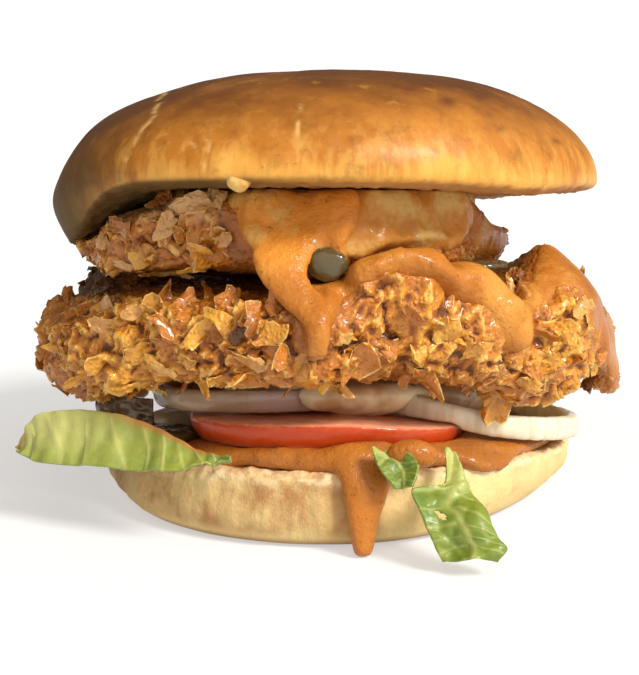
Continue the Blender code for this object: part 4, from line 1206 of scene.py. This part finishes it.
TOP_SAUCE = [
    (-20, 80), (-20, 67.7), (-19, 65.2), (-17.7, 63.1), (-17, 59.6), (-15.3, 57.5), (-13.2, 55),
    (-11.8, 52.5), (-9, 46), (-1, 46), (1.4, 49.2), (2.4, 51.8), (2, 54.3), (2.7, 56.4), (2.4, 58.5),
    (4.1, 60.7), (6, 63), (9.5, 62.4), (12.5, 63.5), (16, 64.6), (21.5, 64), (23, 59), (25, 55.6), (29, 55),
    (33, 58), (36, 62), (37, 80),
]
CHEESE = [
    (-0.3, 80), (-0.3, 54.3), (3.5, 54.3), (6.3, 55.3), (9.1, 56.4), (13, 57.1), (16.5, 57.1), (19.7, 55.7),
    (21.5, 57.1), (23.2, 60.7), (23.8, 64.4), (25, 80),
]
MIDDLE_SAUCE = [
    (-15.3, 80), (-15.3, 57.1), (-13.2, 54.3), (-10.7, 51), (-7.9, 48.2), (-6.5, 45.3), (-5.8, 40.2),
    (-3.3, 37.2), (-1.1, 39.8), (-0.4, 44.2), (0.7, 47.4), (2.8, 49.6), (5.6, 51), (9.9, 51.8), (14.1, 51.8),
    (17.7, 51), (20.6, 49.2), (23.8, 47.1), (26.7, 44.9), (28.6, 42), (30.5, 38.3), (32.7, 38), (35.1, 39.1),
    (35.8, 42), (36, 45.3), (37.7, 47.4), (39.8, 48.9), (42.3, 50), (44.1, 48.2), (45.7, 43.8), (47.4, 38.3),
    (48.7, 31.9), (50, 26.8), (56, 26.8), (57, 80), (36.5, 80), (36, 59), (34.5, 53), (33.5, 47.5),
    (31.9, 46.8), (30.1, 49.5), (27.4, 51.6), (23.8, 53), (21.5, 55.4), (21, 80),
]
NOTCH = [
    (21, 80), (21.5, 55.4), (23.8, 53), (27.4, 51.6), (30.1, 49.5), (31.9, 46.8), (33.5, 47.5), (34.5, 53),
    (36, 59), (36.5, 80),
]
# The sauce that runs down the front, and the band over the step in the lower fillet: places, then half sizes.
TOP_RUN = (
    [(-8, -44, 61), (-9.4, -48, 56), (-9.4, -51.4, 51.8), (-5.6, -54.6, 47.6), (-3.4, -57.0, 44),
     (-3.4, -57.6, 38.5)],
    [(7.6, 1.6), (6.0, 1.8), (4.6, 1.9), (4.6, 1.8), (2.7, 1.5), (1.9, 1.1)])
MIDDLE_RUN = (
    [(18, -46.5, 52.6), (22, -45, 51), (26, -41.5, 48), (29.5, -41.5, 45.5), (32.5, -42, 42.5)],
    [(3.0, 2.5), (4.8, 4.5), (6.0, 6.5), (5.6, 5.5), (3.2, 3.0)])
TAN, GOLDEN, BROWN, PALE = {"dry": 0.85, "tone": 0.8}, {"tone": 1.0}, {"tone": 0.2}, {"tone": 0.9, "dry": 0.5}
UPPER_SPOTS = [
    (-24.4, 64.6, 5.4, 3.0, 12, 5, TAN), (-20.6, 65.4, 2.8, 2.0, 35, -5, TAN),
    (-30.4, 64.6, 3.2, 2.0, 40, 10, BROWN), (-33.7, 56.2, 3.6, 3.0, 20, 5, GOLDEN),
    (-29.5, 61.0, 3.4, 2.2, 60, 20, TAN), (-38.2, 60.5, 2.8, 1.9, -30, 15, BROWN),
    (-41.0, 57.5, 2.6, 1.8, 50, 20, TAN), (-37.0, 53.2, 3.2, 1.2, -8, 30, TAN),
    (-33.0, 52.4, 3.6, 1.1, 5, 35, GOLDEN), (-28.6, 52.8, 3.8, 1.0, -6, 35, TAN),
    (-25.0, 53.3, 3.4, 1.0, 8, 30, GOLDEN), (-20.6, 58.6, 2.0, 1.7, 40, 0, PALE),
    (-24.5, 57.2, 3.0, 1.9, -20, 25, GOLDEN),
]
LOWER_SPOTS = [
    (-48.6, 49.0, 3.4, 1.2, 115, 10, {"tone": 0.4}), (-50.2, 39.0, 3.2, 1.0, 170, 10, GOLDEN),
    (-46.4, 33.4, 3.0, 1.3, 25, 20, GOLDEN), (-30.6, 47.8, 4.4, 2.4, 70, 35, BROWN),
    (-26.5, 46.8, 4.8, 2.2, 62, 30, {"tone": 0.5}), (-22.8, 48.5, 4.4, 2.1, 110, 35, BROWN),
    (-18.4, 47.0, 4.2, 2.6, 80, 20, {"tone": 0.45}), (-20.2, 43.0, 4.0, 2.2, 125, 30, GOLDEN),
    (-14.6, 44.6, 4.2, 2.0, 65, 30, BROWN), (-11.6, 47.2, 3.4, 2.2, 85, 20, {"tone": 0.5}),
    (-30.0, 42.6, 4.6, 2.0, 130, 25, {"tone": 0.6}), (-25.2, 40.2, 4.4, 1.8, 55, 35, GOLDEN),
    (-17.4, 40.6, 2.2, 1.8, 40, 0, {"dim": 0.75}), (-12.0, 40.4, 4.0, 2.2, 30, 20, GOLDEN),
    (-15.2, 36.6, 3.8, 1.6, -20, 30, PALE), (-9.5, 36.4, 3.2, 1.8, 70, 30, {"tone": 0.6}),
    (-35.2, 44.8, 4.0, 2.4, 20, 25, PALE), (-40.6, 42.0, 4.2, 2.6, -25, 20, PALE),
    (-36.4, 37.4, 4.0, 2.4, 15, 25, GOLDEN), (-42.6, 36.2, 3.6, 2.2, 40, 25, GOLDEN),
    (-31.2, 34.8, 4.0, 2.0, -20, 30, PALE), (-38.0, 31.6, 3.4, 1.6, 5, 40, GOLDEN),
    (-33.0, 30.4, 3.2, 1.5, -15, 45, GOLDEN), (-27.6, 31.4, 3.0, 1.6, 75, 40, {"tone": 0.6}),
    (-22.0, 33.0, 3.0, 1.4, 15, 45, GOLDEN), (19.4, 42.2, 3.4, 3.2, 35, 5, GOLDEN),
    (13.4, 44.4, 3.4, 2.0, -35, 25, {"tone": 0.5}), (24.6, 38.6, 3.4, 2.0, 25, 25, GOLDEN),
    (17.6, 32.0, 3.2, 1.4, 80, 25, GOLDEN), (12.8, 33.6, 3.0, 1.6, 70, 30, {"tone": 0.5}),
    (23.6, 30.6, 3.2, 1.5, -60, 30, GOLDEN), (29.4, 34.6, 3.4, 2.0, 15, 30, PALE),
    (34.4, 31.8, 3.2, 1.8, -25, 30, GOLDEN), (31.2, 49.4, 3.2, 1.4, 115, 15, PALE),
    (43.6, 46.2, 3.4, 2.4, 50, 5, PALE), (41.0, 41.0, 3.6, 2.4, -30, 15, GOLDEN),
    (39.0, 35.4, 3.4, 2.2, 30, 25, GOLDEN), (45.6, 32.4, 2.8, 2.2, 70, 10, {"dim": 0.7}),
    (4.0, 38.4, 3.4, 1.8, -10, 30, {"tone": 0.5}), (7.6, 34.2, 3.0, 1.6, 30, 35, BROWN),
]


def coloured_fillet(name, skin):
    """Marks where the coating is dry and where it lies in shadow."""
    x, z = on_sheet(skin.points).T / MM
    if name == "upper":
        skin.marks["dry"] = 0.8 * ease(-x, 18, 24) * ease(z, 60, 64)
        skin.marks["dim"] = 0.4 * ease(z, 54, 51)
    else:
        skin.marks["dry"] = 0.0 * x
        lump, notch = ease(-x, 36.5, 39) * ease(z, 47.4, 49), inside(skin.points, *NOTCH)
        skin.marks["dim"] = np.maximum(0.9 * lump, 0.8 * ease(notch, -0.5 * MM, 1 * MM))
    return skin


def crusted(fillets, coating, ground, crisp):
    """Both fillets with their flakes and crumbs."""
    rng = np.random.default_rng(coating.seed)
    large = kinds_collection("large_flake", [flake_mesh(rng, crisp, 17) for _ in range(14)])
    small = kinds_collection("small_flake", [flake_mesh(rng, crisp, 8) for _ in range(10)])
    crumbs = kinds_collection("crumb", [crumb_mesh(rng, crisp) for _ in range(6)])
    tree, half = scatter_tree(), coating.flake
    for name, skin in fillets.items():
        piece_of(name + "_fillet", coloured_fillet(name, skin), ground, "crumb_coating", "fillet_" + name)
        for size, *given in (
            ("_large_flakes", large, coating.spacing, 8e4, 0.55 * half, 1.35 * half, coating.tilt, 3),
            ("_small_flakes", small, 2.2 * MM, 1.2e5, 0.25 * half, 0.5 * half, 0.9, 8),
            ("_crumbs", crumbs, 1.8 * MM, 9e4, 0.3 * MM, 0.8 * MM, 3.1, 13),
        ):
            scattered(name + size, skin, tree, crisp, given)
    placed_flakes("upper_plates", fillets["upper"], UPPER_SPOTS, rng, crisp)
    placed_flakes("lower_plates", fillets["lower"], LOWER_SPOTS, rng, crisp)
    for made in (large, small, crumbs):
        drop_collection(made)


def cheese_on(upper, depth, melted):
    """The melted slice, and the drop that hangs from the upper bun."""
    skin = poured(upper, depth, 1.6 * MM, 0.3, 14, roof=(62.0, 0.104), hilly=1.2)
    skin.marks = {}
    piece_of("cheese", skin, melted, "melted_cheese", "cheese_slice")
    drop = ellipsoid_mesh("cheese_drop", (-17.0, -55.0, 68.7), (2.1, 1.0, 1.5))
    for vert in drop.vertices:
        vert.co.x += 0.25 * MM * math.sin(vert.co.z / (0.9 * MM))
        vert.co.z += 0.3 * MM * math.sin(vert.co.x / (0.8 * MM))
    drop.shade_smooth()
    drop.materials.append(melted)
    settle(linked("cheese_drop", drop), "melted_cheese")


def top_sauce_skin(upper, depth, spacing):
    thin = ease(upper.points[:, 0], 17 * MM, 21 * MM)
    skin = poured(upper, depth, 2.0 * MM, thin=thin, roof=(62.2, 0.104), hilly=1.0)
    skin = joined(skin, [run_mesh(*TOP_RUN)], spacing, 7)
    x, _, z = skin.points.T
    cream, film = layered(skin.points, 6 * MM, 47), layered(skin.points, 5 * MM, 48)
    # The sunny share is painted light on the upper part of the sauce
    skin.marks = {"cream": 0.45 * ease(cream, 0.2, 0.6) * ease(z, 54 * MM, 58 * MM),
                  "sunny": 0.6 * ease(z, 50 * MM, 56 * MM) * ease(-x, -17 * MM, -12 * MM),
                  "film": 0.75 * ease(x, 15 * MM, 22 * MM) * ease(film, -0.5, 0.1)}
    return skin


def middle_sauce_skin(lower, depth, spacing):
    thin = ease(lower.points[:, 0], 35 * MM, 39 * MM)
    skin = poured(lower, depth, 1.9 * MM, softer=14, thin=thin)
    skin = joined(skin, [run_mesh(*MIDDLE_RUN)], spacing, 8)
    thin = ease(skin.points[:, 0], 35 * MM, 39 * MM)
    film = ease(layered(skin.points, 6 * MM, 49), -0.3, 0.3)
    skin.marks = {"cream": 0.0 * thin, "sunny": 0.0 * thin, "film": 0.55 * thin * film}
    return skin


class BURGER_OT_fillets(bpy.types.Operator):
    """Makes both fillets, their flakes and crumbs, and the sauces and cheese that lie on them"""
    bl_idname = "burger.fillets"
    bl_label = "Fillets with sauce and cheese"

    def execute(self, context):
        coating, sauce = context.scene.burger_coating, context.scene.burger_sauce
        ground = coating_finish("crumb_ground", coating, sauce, False)
        crisp = coating_finish("crumb_coating", coating, sauce, True)
        orange = sauce_finish("burger_sauce", sauce.orange, sauce.light, sauce.speck, sauce.thin, sauce.cheese)
        top, cheese = sauce_cover("sauce_top", *TOP_SAUCE), sauce_cover("cheese_slice", *CHEESE)
        cover = sauce_cover("sauce_middle", *MIDDLE_SAUCE)
        upper = coated_core(
            "fillet_upper", coating, lambda skin: np.maximum(top(skin), cheese(skin)), upper_lift)[0]
        lower, middle = coated_core("fillet_lower", coating, cover, lower_lift)
        crusted({"upper": upper, "lower": lower}, coating, ground, crisp)
        cheese_on(upper, cheese(upper), cheese_finish(sauce))
        skin = top_sauce_skin(upper, top(upper), coating.mesh)
        piece_of("top_sauce", skin, orange, "burger_sauce", "sauce_top")
        skin = middle_sauce_skin(lower, middle, coating.mesh)
        piece_of("middle_sauce", skin, orange, "burger_sauce", "sauce_middle")
        return {"FINISHED"}


class BURGER_OT_dressings(bpy.types.Operator):
    """Makes the spiced sauce on the lower bun and the mayonnaise"""
    bl_idname = "burger.dressings"
    bl_label = "Spiced sauce and mayonnaise"

    def execute(self, context):
        sauce = context.scene.burger_sauce
        spiced = sauce_finish("spiced_sauce", sauce.spiced, sauce.orange, sauce.speck, sauce.thin, spice=0.61)
        skin = sauce_skin("sauce_base", sauce, 0.6, 3)
        x, y, z = skin.points.T
        drip = ease(z, 15 * MM, 8 * MM) * ease(-y, 44 * MM, 48 * MM)
        drip = drip * ease(np.abs(x - 6 * MM), 16 * MM, 12 * MM)
        taper = 0.24 + 0.22 * ease(z, 10 * MM, 1 * MM)
        skin.points[:, 0] -= drip * (taper * (x - 5 * MM) + 0.4 * MM)
        skin.points[:, 2] = z - 2.4 * MM * drip * ease(z, 12 * MM, 2 * MM)
        blob = ellipsoid_mesh("blob", (13.8, -50.8, 19.0), (5.0, 2.6, 3.0))
        skin = joined(skin.lift_over(OVER_TABLE), [blob], sauce.mesh, 5).lift_over(OVER_TABLE)
        x, y, z = skin.points.T
        drip = ease(z, 15 * MM, 8 * MM) * ease(-y, 44 * MM, 48 * MM)
        # Painted light: a brighter orange on the drip
        skin.marks = {"cream": 0.0 * x, "film": 0.0 * x, "sunny": 0.3 * drip}
        piece_of("base_sauce", skin, spiced, "spiced_sauce", "sauce_base")
        piece_of("dressing", sauce_skin("mayonnaise", sauce, 0.5, 5), mayonnaise_finish(sauce), "mayonnaise",
                 "mayonnaise")
        return {"FINISHED"}


class BURGER_OT_vegetables(bpy.types.Operator):
    """Makes the tomato, the onion rings and the pickles"""
    bl_idname = "burger.vegetables"
    bl_label = "Tomato, onion and pickle"

    def execute(self, context):
        salad = context.scene.burger_salad
        onion = onion_finish(salad)
        # The last value of each ring says how much painted shade it gets along x
        for name, node, centre, grey in (
            ("left_onion", "onion_ring_left", (-16, -12), lambda x: ease(-x, 8 * MM, 20 * MM)),
            ("right_onion", "onion_ring_right", (28.5, -11.5), lambda x: 0 * x),
            ("onion_strip", "onion_strip_left", (-31, 11), lambda x: 0.9 + 0 * x),
        ):
            piece_of(name, ring_skin(node, centre, salad, grey), onion, "onion", node)
        skin = fine_skin("tomato_slice", salad.mesh, 3, 1)
        skin.marks = {"cut": ease(np.abs(skin.normals()[:, 2]), 0.5, 0.85)}
        skin.swell(0.12 * MM * layered(skin.points, 8 * MM, 55))
        piece_of("tomato", skin, tomato_finish(salad), "tomato", "tomato_slice")
        gherkin = pickle_finish(salad)
        for node in ("pickle_left", "pickle_front", "pickle_right"):
            skin = fine_skin(node, salad.mesh, 3, 1)
            skin.swell(0.35 * MM * layered(skin.points, 3 * MM, 57))
            if node == "pickle_front":
                skin.points += np.array([0.0, -1.6, 1.0]) * MM
                skin.points[:, 1] -= 0.5 * (skin.points[:, 1] - skin.points[:, 1].max())
            piece_of(node + "_slice", skin, gherkin, "pickle", node)

        # Shreds of onion that lie in shade, coloured with painted shade
        shred = shred_finish()
        for name in ("left_shred", "right_shred"):
            sheet = leaf_mesh(name, *EDGES[name], crumpled, lambda s, t: {}, shred, 40, 24, 0.8)
            settle(linked(name, sheet), "onion")
        return {"FINISHED"}


class BURGER_OT_lettuce(bpy.types.Operator):
    """Makes the three leaves of lettuce"""
    bl_idname = "burger.lettuce"
    bl_label = "Lettuce"

    def execute(self, context):
        salad = context.scene.burger_salad
        pale = leaf_finish("lettuce_pale", salad.pale_leaf, salad.leaf, (0.20, 0.26, 0.05))
        green = leaf_finish("lettuce_green", salad.pale_leaf, salad.green_leaf, (0.14, 0.22, 0.03))

        for name, finish, slot_and_node, ruffle, marks, given in (
            ("left_leaf", pale, ("lettuce_pale", "lettuce_left"), left_ruffle, left_marks, {}),
            ("front_leaf", green, ("lettuce_green", "lettuce_front"), front_ruffle, front_marks,
             {"hole": bitten}),
            ("small_leaf", green, ("lettuce_green", "lettuce_small"), small_ruffle, front_marks,
             {"along": 50, "across": 24}),
        ):
            sheet = leaf_mesh(name, *EDGES[name], ruffle, marks, finish, **given)
            settle(linked(name, sheet), *slot_and_node)
        return {"FINISHED"}


class BURGER_OT_studio(bpy.types.Operator):
    """Sets the pale floor, the soft light and the camera"""
    bl_idname = "burger.studio"
    bl_label = "Studio"

    def execute(self, context):
        stage, scene = context.scene.burger_stage, context.scene
        paint = Finish("floor", 0.9, shine=0.1)
        paint.shader.inputs["Base Color"].default_value = (*stage.floor, 1.0)
        paint.shader.inputs["Emission Color"].default_value = (1.0, 1.0, 1.0, 1.0)
        seen = paint.node("ShaderNodeLightPath", {}).outputs["Is Camera Ray"]
        cast = 0.28  # the glow that lights the burger from the table
        glow = paint.calc("MULTIPLY_ADD", seen, stage.glow - cast, cast)
        paint.tree.links.new(glow, paint.shader.inputs["Emission Strength"])
        corners = 8.0 * np.array([(-1, -1, 0), (1, -1, 0), (1, 1, 0), (-1, 1, 0)])
        linked("floor", new_mesh("floor", corners, [(0, 1, 2, 3)], paint.material))

        sun = bpy.data.lights.new("key", "SUN")
        sun.energy, sun.angle, sun.color = stage.sun, math.radians(18), (1.0, 0.985, 0.95)
        lamp = linked("key", sun)
        level = math.cos(stage.height)
        aim = Vector((math.sin(stage.turn) * level, -math.cos(stage.turn) * level, math.sin(stage.height)))
        lamp.rotation_euler = aim.to_track_quat("Z", "Y").to_euler()

        world = bpy.data.worlds.new("studio")
        world.use_nodes = True
        scene.world = world
        tree, white = world.node_tree, (1.0, 1.0, 1.0, 1.0)
        ways = add_node(tree, "ShaderNodeTexCoord", {}).outputs["Generated"]
        side = add_node(tree, "ShaderNodeVectorMath", {0: ways, 1: (0.50, -0.75, 0.43)},
                        operation="DOT_PRODUCT").outputs["Value"]
        fill = add_node(tree, "ShaderNodeMapRange", {
            "Value": side, "From Min": -0.3, "From Max": 1.0, "To Min": stage.sky, "To Max": 1.0},
            interpolation_type="SMOOTHSTEP").outputs["Result"]
        seen = add_node(tree, "ShaderNodeLightPath", {}).outputs["Is Camera Ray"]
        strength = add_node(tree, "ShaderNodeMix", {0: seen, 2: fill, 3: 1.05}).outputs[0]
        warmth = add_node(tree, "ShaderNodeMix", {0: seen, 6: (1.0, 0.93, 0.82, 1.0), 7: white},
                          data_type="RGBA").outputs[2]
        for socket, value in (("Strength", strength), ("Color", warmth)):
            tree.links.new(value, tree.nodes["Background"].inputs[socket])

        lens = bpy.data.cameras.new("camera")
        lens.lens, lens.sensor_width, lens.clip_start = 69.8, 36, 0.01
        camera = linked("camera", lens)
        camera.location = EYE.tolist()
        camera.rotation_euler = (math.radians(90 - LOOK_DOWN), 0, 0)
        scene.camera = camera
        scene.view_settings.view_transform = "Standard"
        return {"FINISHED"}


STEPS = (BURGER_OT_buns, BURGER_OT_fillets, BURGER_OT_dressings, BURGER_OT_vegetables, BURGER_OT_lettuce,
         BURGER_OT_studio)
SETTINGS = (("burger_bun", BunSettings), ("burger_coating", CoatingSettings), ("burger_sauce", SauceSettings),
            ("burger_salad", SaladSettings), ("burger_stage", StageSettings))


class BURGER_PT_panel(bpy.types.Panel):
    """Lists the pieces of the burger"""
    bl_label = "Chicken burger"
    bl_idname = "BURGER_PT_panel"
    bl_space_type = "VIEW_3D"
    bl_region_type = "UI"
    bl_category = "Burger"

    def draw(self, context):
        for step in STEPS:
            self.layout.operator(step.bl_idname)
        for label, group in SETTINGS:
            box = self.layout.box()
            for name in group.__annotations__:
                box.prop(getattr(context.scene, label), name)


def register():
    for made in (*(group for label, group in SETTINGS), *STEPS, BURGER_PT_panel):
        bpy.utils.register_class(made)
    for label, group in SETTINGS:
        setattr(bpy.types.Scene, label, PointerProperty(type=group))


def unregister():
    for label, group in SETTINGS:
        delattr(bpy.types.Scene, label)
    for made in (BURGER_PT_panel, *STEPS, *(group for label, group in SETTINGS)):
        bpy.utils.unregister_class(made)


def main():
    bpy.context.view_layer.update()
    register()
    for step in STEPS:
        group, name = step.bl_idname.split(".")
        getattr(getattr(bpy.ops, group), name)()


if __name__ == "__main__":
    main()
